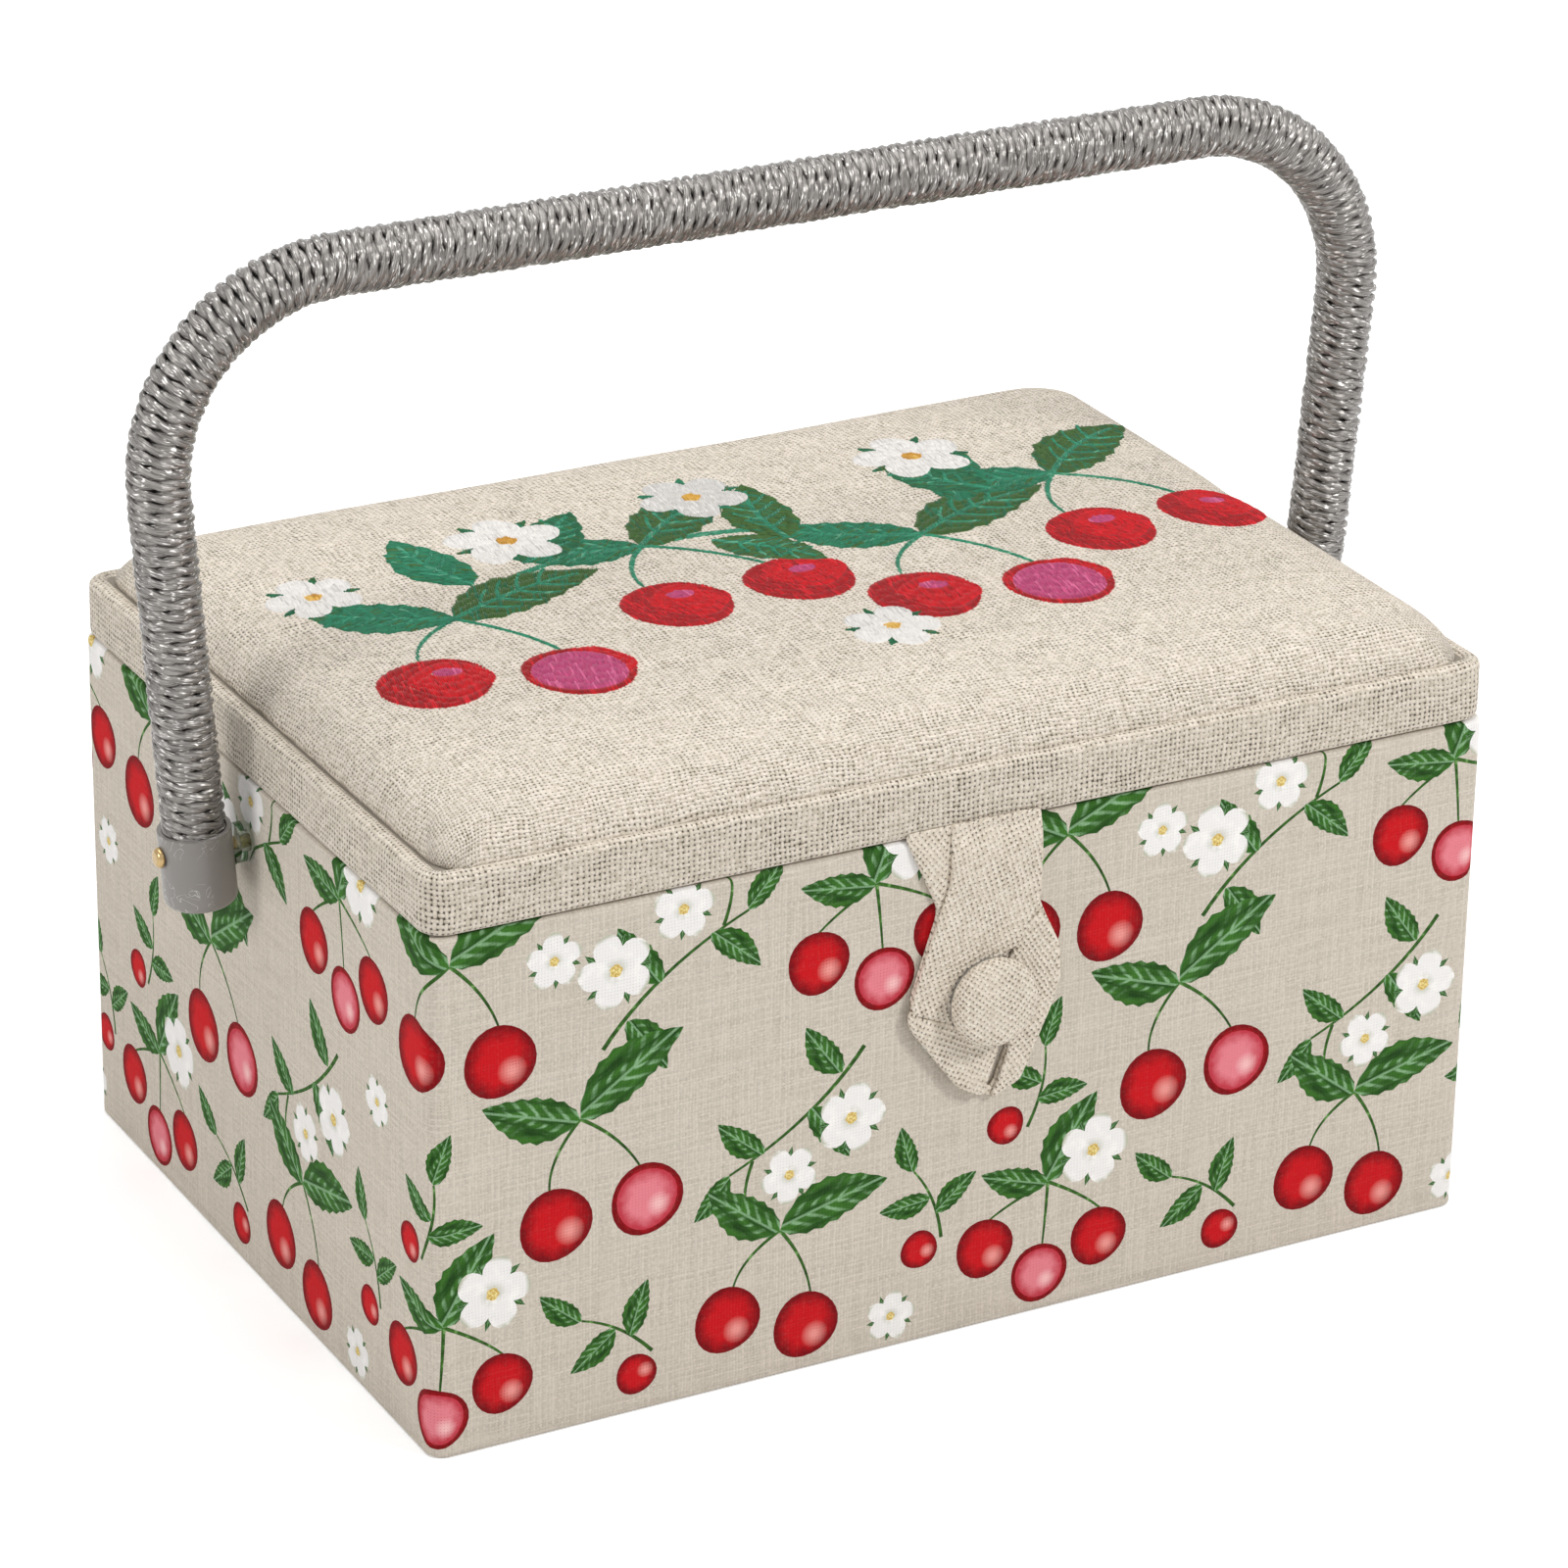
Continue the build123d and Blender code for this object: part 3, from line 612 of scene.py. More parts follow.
class RoundedPath:
    """A rectangle with rounded corners, walked anticlockwise from the middle of the back."""

    CORNERS = {1: (-1, 1, 90), 3: (-1, -1, 180), 5: (1, -1, 270), 7: (1, 1, 0)}

    def __init__(self, width: float, depth: float, corner: float) -> None:
        """Keep the path's size."""
        self.width, self.depth, self.corner = width, depth, corner

    def drawn_in(self, inset: float, corner: float | None = None) -> "RoundedPath":
        """Return the path this far inside, with its own corner where one is given."""
        smaller = max(self.corner - inset, 0.3) if corner is None else corner
        return RoundedPath(self.width - 2 * inset, self.depth - 2 * inset, smaller)

    def lengths(self) -> list[float]:
        """Measure the walk's nine sections, straight and corner by turns.

        Returns:
            Their lengths.
        """
        side, flank = self.width - 2 * self.corner, self.depth - 2 * self.corner
        bend = pi / 2 * self.corner
        return [side / 2, bend, flank, bend, side, bend, flank, bend, side / 2]

    def at(self, section: int, share: float) -> tuple[Vector, Vector]:
        """Find a place on the path.

        Args:
            section: which of the nine sections it is on.
            share: how far along that section, from 0 to 1.

        Returns:
            The point, and the outward direction there.
        """
        w, d, r = self.width / 2, self.depth / 2, self.corner
        if section in self.CORNERS:
            x_side, y_side, start = self.CORNERS[section]
            turn = radians(start + 90 * share)
            normal = Vector((cos(turn), sin(turn)))
            return Vector((x_side * (w - r), y_side * (d - r))) + r * normal, normal
        ends = {0: ((0, d), (r - w, d)), 2: ((-w, d - r), (-w, r - d)), 4: ((r - w, -d), (w - r, -d)),
                6: ((w, r - d), (w, d - r)), 8: ((w - r, d), (0, d))}[section]
        start_point, end_point = Vector(ends[0]), Vector(ends[1])
        travel = (end_point - start_point).normalized()
        return start_point.lerp(end_point, share), Vector((travel.y, -travel.x))

    def stations(self, step: float, corner_steps: int) -> list[tuple[int, float]]:
        """Choose where to stop along the walk.

        Args:
            step: about how far apart the stops are on the straights.
            corner_steps: steps round each corner.

        Returns:
            The stops as sections and shares, with the end of the walk.
        """
        stops = []
        for section, length in enumerate(self.lengths()):
            count = corner_steps if section in self.CORNERS else max(1, round(length / step))
            stops += [(section, k / count) for k in range(count)]
        return [*stops, (8, 1.0)]

    def locate(self, distance: float) -> tuple[int, float]:
        """Find the stop at a distance along the walk.

        Args:
            distance: how far it is from the start.

        Returns:
            Its section and share.
        """
        left = distance
        for section, length in enumerate(self.lengths()):
            if left <= length or section == 8:
                return section, min(left / length, 1.0)
            left -= length
        return 8, 1.0

    def walked(self, section: int, share: float) -> float:
        """Return the distance walked to a share of a section."""
        lengths = self.lengths()
        return sum(lengths[:section]) + share * lengths[section]


def finish_piece(mesh: Mesh, finish: Finish, body: str | None) -> Piece:
    """Turn a mesh into a piece of the box with the mesh's name.

    Args:
        mesh: the mesh, in metres.
        finish: the finish it gets, unless the mesh has its own materials.
        body: the body it rides on, or None where it bends between two or is placed later.

    Returns:
        The new object.
    """
    if not mesh.materials:
        mesh.materials.append(finish.material())
    for polygon in mesh.polygons:
        polygon.use_smooth = True
    piece = bpy.data.objects.new(mesh.name, mesh)
    bpy.context.scene.collection.objects.link(piece)
    if body:
        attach(piece, body)
    return piece


def woven_grid(name: str, grid: Grid, weld: bool = True) -> Mesh:
    """Build a mesh of quads from rows of points.

    Args:
        name: the mesh's name.
        grid: rows of one length, each of points with their places on the uncut cloth.
        weld: whether points that meet are joined.

    Returns:
        The mesh in metres, with the cloth UV map.
    """
    made = bmesh.new()
    cloth = made.loops.layers.uv.new(CLOTH_UV)
    corners = [[made.verts.new(point * MM) for point, _ in row] for row in grid]
    for j in range(len(grid) - 1):
        for i in range(len(grid[j]) - 1):
            ring = ((j, i), (j, i + 1), (j + 1, i + 1), (j + 1, i))
            face = made.faces.new([corners[a][b] for a, b in ring])
            for loop, (a, b) in zip(face.loops, ring):
                loop[cloth].uv = Vector(grid[a][b][1]) * MM
    if weld:
        bmesh.ops.remove_doubles(made, verts=made.verts, dist=1e-6)
    mesh = bpy.data.meshes.new(name)
    made.to_mesh(mesh)
    made.free()
    return mesh


def close_holes(mesh: Mesh, low: float = -inf, high: float = inf,
                woven: bool = False) -> None:
    """Fill the open rings of a mesh.

    Args:
        mesh: the mesh, in metres.
        low, high: only rings between these heights are filled.
        woven: whether the cloth's threads run on over the filling, which is then cut into triangles.
    """
    closed = bmesh.new()
    closed.from_mesh(mesh)
    open_edges = [edge for edge in closed.edges if edge.is_boundary
                  and all(low * MM < vert.co.z < high * MM for vert in edge.verts)]
    filling = bmesh.ops.holes_fill(closed, edges=open_edges)["faces"]
    if woven:
        cloth = closed.loops.layers.uv[CLOTH_UV]
        for face in filling:
            for loop in face.loops:
                loop[cloth].uv = loop.vert.co.xy
        bmesh.ops.triangulate(closed, faces=filling)
    closed.to_mesh(mesh)
    closed.free()


def travelled(line: Sequence[Point]) -> list[float]:
    """Return the distance to each point of a line, along it from its start."""
    return list(accumulate((dist(a, b) for a, b in zip(line, line[1:])), initial=0.0))


@dataclass(frozen=True)
class Shape:
    """One inked or stitched patch: a closed outline drawn along its own axis.

    Attributes:
        ink: the ink that fills it.
        outline: the outline's points.
        origin: where its own coordinates start.
        turn: the direction of its axis in radians.
        length: the length that counts as one along the axis.
        half_width: the width that counts as one across it.
    """

    ink: Ink
    outline: list[Point]
    origin: Point = (0.0, 0.0)
    turn: float = 0.0
    length: float = 1.0
    half_width: float = 1.0

    def local(self, place: Point) -> Point:
        """Measure a place along the shape's own axis.

        Args:
            place: the place that is measured.

        Returns:
            The place as shares along and across the shape.
        """
        x, y = place[0] - self.origin[0], place[1] - self.origin[1]
        c, s = cos(self.turn), sin(self.turn)
        return (x * c + y * s) / self.length, (y * c - x * s) / self.half_width

    def moved(self, place: Point, turn: float = 0.0) -> "Shape":
        """Turn the shape, then move it.

        Args:
            place: where its zero point goes.
            turn: how far it is turned first, in degrees.

        Returns:
            The moved shape.
        """
        c, s = cos(radians(turn)), sin(radians(turn))

        def shift(p: Point) -> Point:
            """Move one point."""
            return p[0] * c - p[1] * s + place[0], p[0] * s + p[1] * c + place[1]

        return Shape(self.ink, [shift(p) for p in self.outline], shift(self.origin),
                     self.turn + radians(turn), self.length, self.half_width)


def disc(ink: Ink, centre: Point, radius: float, wobble: float = 0.03, lobes: int = 3,
         count: int = 22, squash: float = 1.0) -> Shape:
    """Draw a round, slightly uneven patch.

    Args:
        ink: its ink.
        centre: its middle.
        radius: its radius.
        wobble: how far its edge strays, as a share of the radius.
        lobes: how many bulges it has.
        count: points of its outline.
        squash: its height as a share of its width.

    Returns:
        The patch.
    """
    outline = []
    for k in range(count):
        turn = 2 * pi * k / count
        reach = radius * (1 + wobble * sin(lobes * turn + radius))
        outline.append((centre[0] + reach * cos(turn), centre[1] + reach * squash * sin(turn)))
    return Shape(ink, outline, centre, 0.0, radius, radius)


def leaf(place: Point, turn: float, length: float, width: float, teeth: int = 7) -> Shape:
    """Draw a saw-edged leaf.

    Args:
        place: where it starts.
        turn: the way it points, in degrees.
        length: its length.
        width: its width.
        teeth: teeth on each side.

    Returns:
        The leaf.
    """
    upper, lower = [], []
    count = teeth * 2
    for k in range(count + 1):
        t = k / count
        half = width / 2 * sin(pi * t ** 0.8) ** 0.85 * (1.0 if k % 2 else 0.88)
        bow = 0.06 * length * sin(pi * t)
        upper.append((t * length, bow + half))
        lower.append((t * length, bow - half))
    outline = upper[:-1] + [(length, 0.0)] + lower[-2:0:-1]
    return Shape(Ink.LEAF, outline, (0, 0.03 * length), 0.0, length, width / 2).moved(place, turn)


def stem(start: Point, bend: Point, end: Point, width: float = 0.9) -> Shape:
    """Draw a thin curved stem that tapers to its end.

    Args:
        start: where it starts.
        bend: the point that pulls it into its curve.
        end: where it ends.
        width: its width at the start.

    Returns:
        The stem.
    """
    middle = []
    for k in range(13):
        t = k / 12
        middle.append(tuple((1 - t) ** 2 * a + 2 * t * (1 - t) * b + t * t * c
                            for a, b, c in zip(start, bend, end)))
    left, right = [], []
    for k, point in enumerate(middle):
        before, after = middle[max(k - 1, 0)], middle[min(k + 1, 12)]
        run = Vector((after[0] - before[0], after[1] - before[1])).normalized()
        half = width / 2 * (1 - 0.45 * k / 12)
        left.append((point[0] - run.y * half, point[1] + run.x * half))
        right.append((point[0] + run.y * half, point[1] - run.x * half))
    return Shape(Ink.STEM, left + right[::-1], start, 0.0, 6.0, 6.0)


def blossom(centre: Point, radius: float, turn: float) -> list[Shape]:
    """Draw a five-petalled blossom with green sepals between its petals and a yellow middle.

    Args:
        centre: its middle.
        radius: how far its petals reach.
        turn: the direction of its first petal in degrees.

    Returns:
        Its shapes, the lowest first.
    """
    ways = [turn + 72 * k for k in range(5)]
    drawn = [leaf(centre, way + 36, radius * 0.98, radius * 0.3, 2) for way in ways]
    for way in ways:
        petal = disc(Ink.PETAL, (0.56 * radius, 0.0), radius * 0.45, 0.05, 3, 18, 0.84).moved(centre, way)
        drawn.append(Shape(Ink.PETAL, petal.outline, centre, 0.0, radius, radius))
    return [*drawn, disc(Ink.POLLEN, centre, radius * 0.17, 0.12, 5, 12)]


def fruit(centre: Point, radius: float, ink: Ink = Ink.CHERRY) -> list[Shape]:
    """Draw a round fruit; a pale one gets a red rim.

    Args:
        centre: its middle.
        radius: its radius.
        ink: its ink.

    Returns:
        Its shapes, the lowest first.
    """
    if ink is Ink.CHERRY:
        return [disc(ink, centre, radius, 0.025, 3, 26)]
    return [disc(Ink.CHERRY, centre, radius, 0.02, 3, 26), disc(ink, centre, radius * 0.84, 0.02, 3, 24)]


def cherry_pair(radius: float, second: Ink = Ink.CHERRY) -> list[Shape]:
    """Draw two fruits that hang from one knot, with two leaves over them.

    Args:
        radius: the fruits' radius.
        second: the ink of the right fruit.

    Returns:
        Its shapes, the lowest first.
    """
    left, right = (-1.15 * radius, -2.6 * radius), (1.35 * radius, -2.9 * radius)
    return [stem((0.0, 0.0), (-1.1 * radius, -0.8 * radius), (left[0], left[1] + radius * 0.9)),
            stem((0.0, 0.0), (1.0 * radius, -0.9 * radius), (right[0], right[1] + radius * 0.9)),
            leaf((0.0, 0.0), 24, 3.4 * radius, 1.5 * radius),
            leaf((0.0, 0.0), 152, 2.8 * radius, 1.3 * radius),
            *fruit(left, radius), *fruit(right, radius, second)]


def cherry_trio(radius: float) -> list[Shape]:
    """Draw three fruits on fanned stems under two leaves and a blossom.

    Args:
        radius: the fruits' radius.

    Returns:
        Its shapes, the lowest first.
    """
    places = [(-2.0 * radius, -2.0 * radius), (0.1 * radius, -3.1 * radius), (2.1 * radius, -2.1 * radius)]
    stalks = [stem((0.0, 0.0), (0.7 * x, 0.3 * y), (x, y + 0.9 * radius)) for x, y in places]
    berries = [s for count, place in enumerate(places)
               for s in fruit(place, radius, Ink.BLUSH if count == 1 else Ink.CHERRY)]
    return [*stalks, leaf((0.0, 0.0), 65, 3.2 * radius, 1.6 * radius),
            leaf((0.0, 0.0), 168, 2.5 * radius, 1.1 * radius), *berries,
            *blossom((1.5 * radius, 0.9 * radius), 1.25 * radius, 12)]


def blossom_spray(size: float) -> list[Shape]:
    """Draw a bent twig with two blossoms, a bud and leaves.

    Args:
        size: the unit of its layout.

    Returns:
        Its shapes, the lowest first.
    """
    return [stem((-2.4 * size, -1.6 * size), (-0.6 * size, 0.2 * size), (2.4 * size, 1.0 * size), 1.1),
            leaf((-1.6 * size, -1.0 * size), -62, 2.1 * size, 1.0 * size),
            leaf((-0.4 * size, -0.2 * size), 118, 2.3 * size, 1.1 * size),
            leaf((1.2 * size, 0.7 * size), -48, 2.0 * size, 0.9 * size),
            leaf((2.4 * size, 1.0 * size), 40, 1.7 * size, 0.8 * size),
            *blossom((-1.7 * size, 0.6 * size), 1.15 * size, 30),
            *blossom((0.5 * size, 1.7 * size), 0.95 * size, 5),
            stem((1.6 * size, 0.8 * size), (2.2 * size, 1.9 * size), (1.9 * size, 2.4 * size)),
            disc(Ink.BLUSH, (1.9 * size, 2.6 * size), 0.36 * size, 0.08, 2, 12)]


def leafy_twig(size: float) -> list[Shape]:
    """Draw a short twig of three leaves and one fruit.

    Args:
        size: the unit of its layout.

    Returns:
        Its shapes, the lowest first.
    """
    return [stem((0.0, -1.6 * size), (0.5 * size, 0.0), (0.1 * size, 1.4 * size)),
            leaf((0.2 * size, -0.6 * size), 15, 2.0 * size, 0.95 * size),
            leaf((0.25 * size, 0.1 * size), 160, 2.0 * size, 0.95 * size),
            leaf((0.1 * size, 1.4 * size), 82, 1.9 * size, 0.9 * size),
            *fruit((-0.9 * size, -1.5 * size), 0.72 * size)]


def anticlockwise(outline: list[Point]) -> list[Point]:
    """Return an outline in anticlockwise order, turned round where it ran clockwise."""
    doubled = sum(a * d - c * b for (a, b), (c, d) in zip(outline, [*outline[1:], outline[0]]))
    return outline if doubled > 0 else outline[::-1]


@dataclass(frozen=True)
class PrintedWalls:
    """The printed cotton glued round the four walls.

    Attributes:
        width, depth, height: the body's size.
        corner: the radius of its upright edges.
        turned_in: how far the cloth is turned in over the walls' top.
        repeats: how many times the print is repeated round the body.
        DRAWN_WIDTH: the width that one repeat's layout was drawn for.
        CORNER_CUTS: into how many flat strips the cloth is cut round each upright edge.
    """

    DRAWN_WIDTH = 147.0
    CORNER_CUTS = 7

    width: float = 260.0
    depth: float = 185.0
    height: float = 122.0
    corner: float = 4.0
    turned_in: float = 5.1
    repeats: int = 6

    @property
    def profile(self) -> list[Point]:
        """Insets and heights from the foot, up the wall and in over its top."""
        return [(0.6, 0.2), (0.15, 0.3), (0.0, 0.6), (0.0, self.height - 1.0), (0.3, self.height - 0.3),
                (1.0, self.height), (self.turned_in, self.height)]

    def tile(self, width: float) -> list[Shape]:
        """Lay out one repeat of the print.

        Args:
            width: the repeat's width.

        Returns:
            Its shapes, the lowest first.
        """
        share = width / self.DRAWN_WIDTH
        layout = [
            (cherry_pair(8.4), (22, 116), 0), (blossom_spray(7.8), (74, 104), 8),
            (cherry_trio(7.4), (122, 114), 4), (leafy_twig(6.4), (16, 57), -10),
            (cherry_pair(8.6, Ink.BLUSH), (52, 74), 10), (blossom_spray(7.4), (104, 62), 188),
            (cherry_trio(7.2), (20, 32), -6), (leafy_twig(6.8), (60, 20), 58),
            (cherry_pair(8.0), (100, 36), -10), (leafy_twig(6.4), (136, 34), 24),
            (blossom((46, 112), 6.6, 20), (0, 0), 0), (blossom((140, 74), 6.0, 50), (0, 0), 0),
            (blossom((128, 8), 6.2, 8), (0, 0), 0),
        ]
        return [shape.moved((x * share, y), turn) for sprig, (x, y), turn in layout for shape in sprig]

    def flat_print(self, width: float, height: float) -> Mesh:
        """Cut one repeat of the cloth along the outlines of its inks.

        Args:
            width: the repeat's width.
            height: the cloth's height.

        Returns:
            The flat repeat in millimetres, each face with its ink as material and its two UV maps.
        """
        shapes = []
        for shape in self.tile(width):
            xs = [p[0] for p in shape.outline]
            shapes += [shape.moved((shift, 0.0)) for shift in (-width, 0.0, width)
                       if min(xs) + shift < width and max(xs) + shift > 0]
        coords = [(0.0, 0.0), (width, 0.0), (width, height), (0.0, height)]
        faces = [[0, 1, 2, 3]]
        for shape in shapes:
            first = len(coords)
            coords += anticlockwise(shape.outline)
            faces.append(list(range(first, first + len(shape.outline))))
        verts, _, cut, _, _, owners = delaunay_2d_cdt([Vector(c) for c in coords], [], faces, 1, 1e-5, True)
        inks = list(Ink)
        made = bmesh.new()
        cloth, motif = made.loops.layers.uv.new(CLOTH_UV), made.loops.layers.uv.new(MOTIF_UV)
        corners = [made.verts.new((*v, 0.0)) for v in verts]
        for face, owner in zip(cut, owners):
            middle = sum((verts[k] for k in face), Vector((0, 0))) / len(face)
            if not (0 < middle.x < width and 0 < middle.y < height) or not owner:
                continue
            top = max(owner)
            new = made.faces.new([corners[k] for k in face])
            shape = shapes[top - 1] if top else None
            new.material_index = inks.index(shape.ink) if shape else 0
            for loop in new.loops:
                loop[cloth].uv = loop.vert.co.xy * MM
                if shape:
                    loop[motif].uv = shape.local(tuple(loop.vert.co.xy))
        bmesh.ops.delete(made, geom=[v for v in made.verts if not v.link_faces], context="VERTS")
        mesh = bpy.data.meshes.new("one_repeat")
        made.to_mesh(mesh)
        made.free()
        return mesh

    def creased(self, lengths: list[float], risen: list[float]) -> BMesh:
        """Lay the repeats side by side and cut them where the cloth will bend.

        Args:
            lengths: the lengths of the body's sections.
            risen: the distance up the cloth to each level of its profile.

        Returns:
            The flat cloth in millimetres.
        """
        width = sum(lengths) / self.repeats
        single = self.flat_print(width, risen[-1])
        cloth = bmesh.new()
        for count in range(self.repeats):
            fresh = len(cloth.verts)
            cloth.from_mesh(single)
            cloth.verts.ensure_lookup_table()
            for vert in cloth.verts[fresh:]:
                vert.co.x += count * sum(lengths) / self.repeats
        bpy.data.meshes.remove(single)
        bmesh.ops.remove_doubles(cloth, verts=cloth.verts, dist=1e-4)
        cuts = [((0.0, level, 0), (0, 1, 0)) for level in risen[1:-1]]
        for section, length in enumerate(lengths):
            count = self.CORNER_CUTS if section in RoundedPath.CORNERS else 1
            marks = [sum(lengths[:section]) + length * k / count for k in range(count)]
            cuts += [((mark, 0.0, 0), (1, 0, 0)) for mark in marks if mark]
        for place, normal in cuts:
            everything = [*cloth.verts, *cloth.edges, *cloth.faces]
            bmesh.ops.bisect_plane(cloth, geom=everything, dist=1e-5, plane_co=place, plane_no=normal)
        return cloth

    def build(self) -> Piece:
        """Wrap the printed cloth round the body.

        Returns:
            The walls.
        """
        path = RoundedPath(self.width, self.depth, self.corner)
        profile = self.profile
        risen = travelled(profile)
        cloth = self.creased(path.lengths(), risen)
        around = sum(path.lengths())
        for vert in cloth.verts:
            stop = path.locate(min(max(vert.co.x, 0.0), around))
            level = max(k for k, r in enumerate(risen[:-1]) if vert.co.y >= r - 1e-6)
            share = (vert.co.y - risen[level]) / (risen[level + 1] - risen[level])
            inset, height = (a + share * (b - a) for a, b in zip(profile[level], profile[level + 1]))
            point = path.drawn_in(inset).at(*stop)[0]
            vert.co = Vector((point.x, point.y, height)) * MM
        bmesh.ops.remove_doubles(cloth, verts=cloth.verts, dist=1e-7)
        mesh = bpy.data.meshes.new("printed_walls")
        cloth.to_mesh(mesh)
        cloth.free()
        for ink in Ink:
            mesh.materials.append(PRINTED[ink].material())
        walls = finish_piece(mesh, PRINTED[Ink.GROUND], "box")
        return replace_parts(walls, "body_cover")


@dataclass(frozen=True)
class PaddedLid:
    """The lid: its linen edge band, the linen stuffed top and the wadding under it.

    Attributes:
        SHOULDER: insets and rises of the pad's round shoulder, from its drawn-in foot to its full rise.
        HOLLOWS: the deeper hollows beside the handle, each its middle, radius and lift.
        width, depth: the lid's size.
        bottom: height of the band's underside.
        rim: height of the band's top edge.
        corner: the radius of the band's upright edges.
        foot: how far inside the band's face the pad starts.
        shoulder_rise: how far the shoulder rises from the pad's foot.
        forward: how much nearer the rim the pad lies along the front.
        crown: height of the pad's middle.
        level_from: how far inside the edge the crown is level.
        dents: how many soft dents and swellings the pad has.
        wadding_depth: how deep under the linen's face the wadding lies.
    """

    SHOULDER = ((0.4, 0.0), (0.05, 0.5), (0.0, 1.2), (0.25, 2.3), (0.7, 3.5), (1.4, 4.9), (2.3, 6.2),
                (3.4, 7.5), (4.8, 8.7), (6.5, 9.7), (8.6, 10.5), (11.5, 10.95))
    HOLLOWS = ((-116.0, 6.0, 11.0, -1.7), (116.0, 2.0, 10.0, -0.9))

    width: float = 260.0
    depth: float = 185.0
    bottom: float = 122.3
    rim: float = 136.1
    corner: float = 6.0
    foot: float = 4.6
    shoulder_rise: float = 11.3
    forward: float = 2.4
    crown: float = 148.4
    level_from: float = 56.0
    dents: int = 46
    wadding_depth: float = 0.95

    def band(self) -> Piece:
        """Wrap the linen band round the lid's frame, its edges rounded by the cloth's turn.

        Returns:
            The band.
        """
        path = RoundedPath(self.width, self.depth, self.corner)
        low, top, edge = self.bottom, self.rim, 2.0
        profile = [(6.7, low + 8.0), (6.7, low + 0.5), (6.0, low), (1.3, low), (0.5, low + 0.35),
                   (0.1, low + 1.1), (0.0, low + 1.9), (0.0, low + 5.5), (0.0, top - 5.5),
                   (0.05, top - 2.2)]
        turns = [radians(15 * step) for step in range(1, 7)]
        profile += [(edge * (1 - cos(turn)), top - edge + edge * sin(turn)) for turn in turns]
        profile += [(2.9, top + 0.02), (3.7, top - 0.3), (4.6, top - 0.9)]
        stops = path.stations(5.0, 9)
        grid = []
        for (inset, height), risen in zip(profile, travelled(profile)):
            ring = path.drawn_in(inset)
            grid.append([(Vector((*ring.at(*stop)[0], height)), (path.walked(*stop), risen))
                         for stop in stops])
        mesh = woven_grid("lid_band_cloth", grid)
        piece = finish_piece(mesh, BAND_LINEN, "lid")
        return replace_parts(piece, "lid_band")

    def levels(self) -> list[tuple[float, float, float]]:
        """Work out the pad's rings from its drawn-in foot to its crown.

        Returns:
            Each ring's inset, height and corner radius.
        """
        low = self.rim - 0.8
        reach, full = self.SHOULDER[-1]
        found = [(self.foot + inset, low + rise * self.shoulder_rise / full, 5.6 + 0.85 * inset)
                 for inset, rise in self.SHOULDER]
        brow = low + self.shoulder_rise
        inset = shoulder = self.foot + reach
        while inset < 86.0:
            inset += 4.5
            share = min((inset - shoulder) / (self.level_from - shoulder), 1.0)
            rise = (self.crown - brow) * (1 - (1 - share) ** 2)
            corner = min(15.0 + 0.15 * inset, 0.48 * (self.depth - 2 * inset))
            found.append((min(inset, 88.0), brow + rise, max(corner, 1.0)))
        return found

    def pad(self, name: str, lowered: float, finish: Finish, slot: str) -> Piece:
        """Build the stuffed top, or the wadding at a little depth under it.

        Args:
            name: the piece's name.
            lowered: how far it lies inside the pad's outer face.
            finish: its finish.
            slot: not used.

        Returns:
            The piece, not riding on anything yet.
        """
        levels = self.levels()
        path = RoundedPath(self.width, self.depth, self.corner)
        stops = path.drawn_in(levels[4][0], 8.0).stations(4.5, 9)
        soft = random.Random(7)
        dents = [(soft.uniform(-120, 120), soft.uniform(-85, 85), soft.uniform(14, 34),
                  soft.uniform(-0.45, 0.3)) for _ in range(self.dents)]
        dents += self.HOLLOWS
        grid = []
        for inset, height, corner in levels:
            ring = path.drawn_in(inset + lowered, corner)
            spread = max(0.0, self.crown - height) * 0.9
            free = min(max((height - self.rim) / 6.0, 0.0), 1.0)
            row = []
            for stop in stops:
                place, normal = ring.at(*stop)
                place = place + Vector((0, -self.forward * max(-normal.y, 0.0) ** 2))
                lift = free * sum(d * exp(-((place.x - a) ** 2 + (place.y - b) ** 2) / (r * r))
                                  for a, b, r, d in dents)
                row.append((Vector((place.x, place.y, min(height + lift, self.crown + 0.2) - lowered)),
                            (place.x + normal.x * spread, place.y + normal.y * spread)))
            grid.append(row)
        mesh = woven_grid(name, grid)
        close_holes(mesh, low=self.rim + 4, woven=True)
        return finish_piece(mesh, finish, None)

    def build(self) -> list[Piece]:
        """Build the lid's soft pieces.

        Returns:
            The band, the padded top and its wadding.
        """
        band = self.band()
        cover = self.pad("padded_top", 0.0, LINEN, "linen")
        soften = cover.modifiers.new("softer", "SUBSURF")
        soften.levels = soften.render_levels = 1
        applied = cover.evaluated_get(bpy.context.evaluated_depsgraph_get())
        cover.data = bpy.data.meshes.new_from_object(applied)
        cover.modifiers.clear()
        cover.data.name = "padded_top"
        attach(cover, "lid")
        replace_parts(cover, "lid_cover")
        filling = self.pad("pad_wadding", self.wadding_depth, WADDING, "wadding")
        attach(filling, "lid")
        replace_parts(filling, "lid_filling")
        return [band, cover, filling]


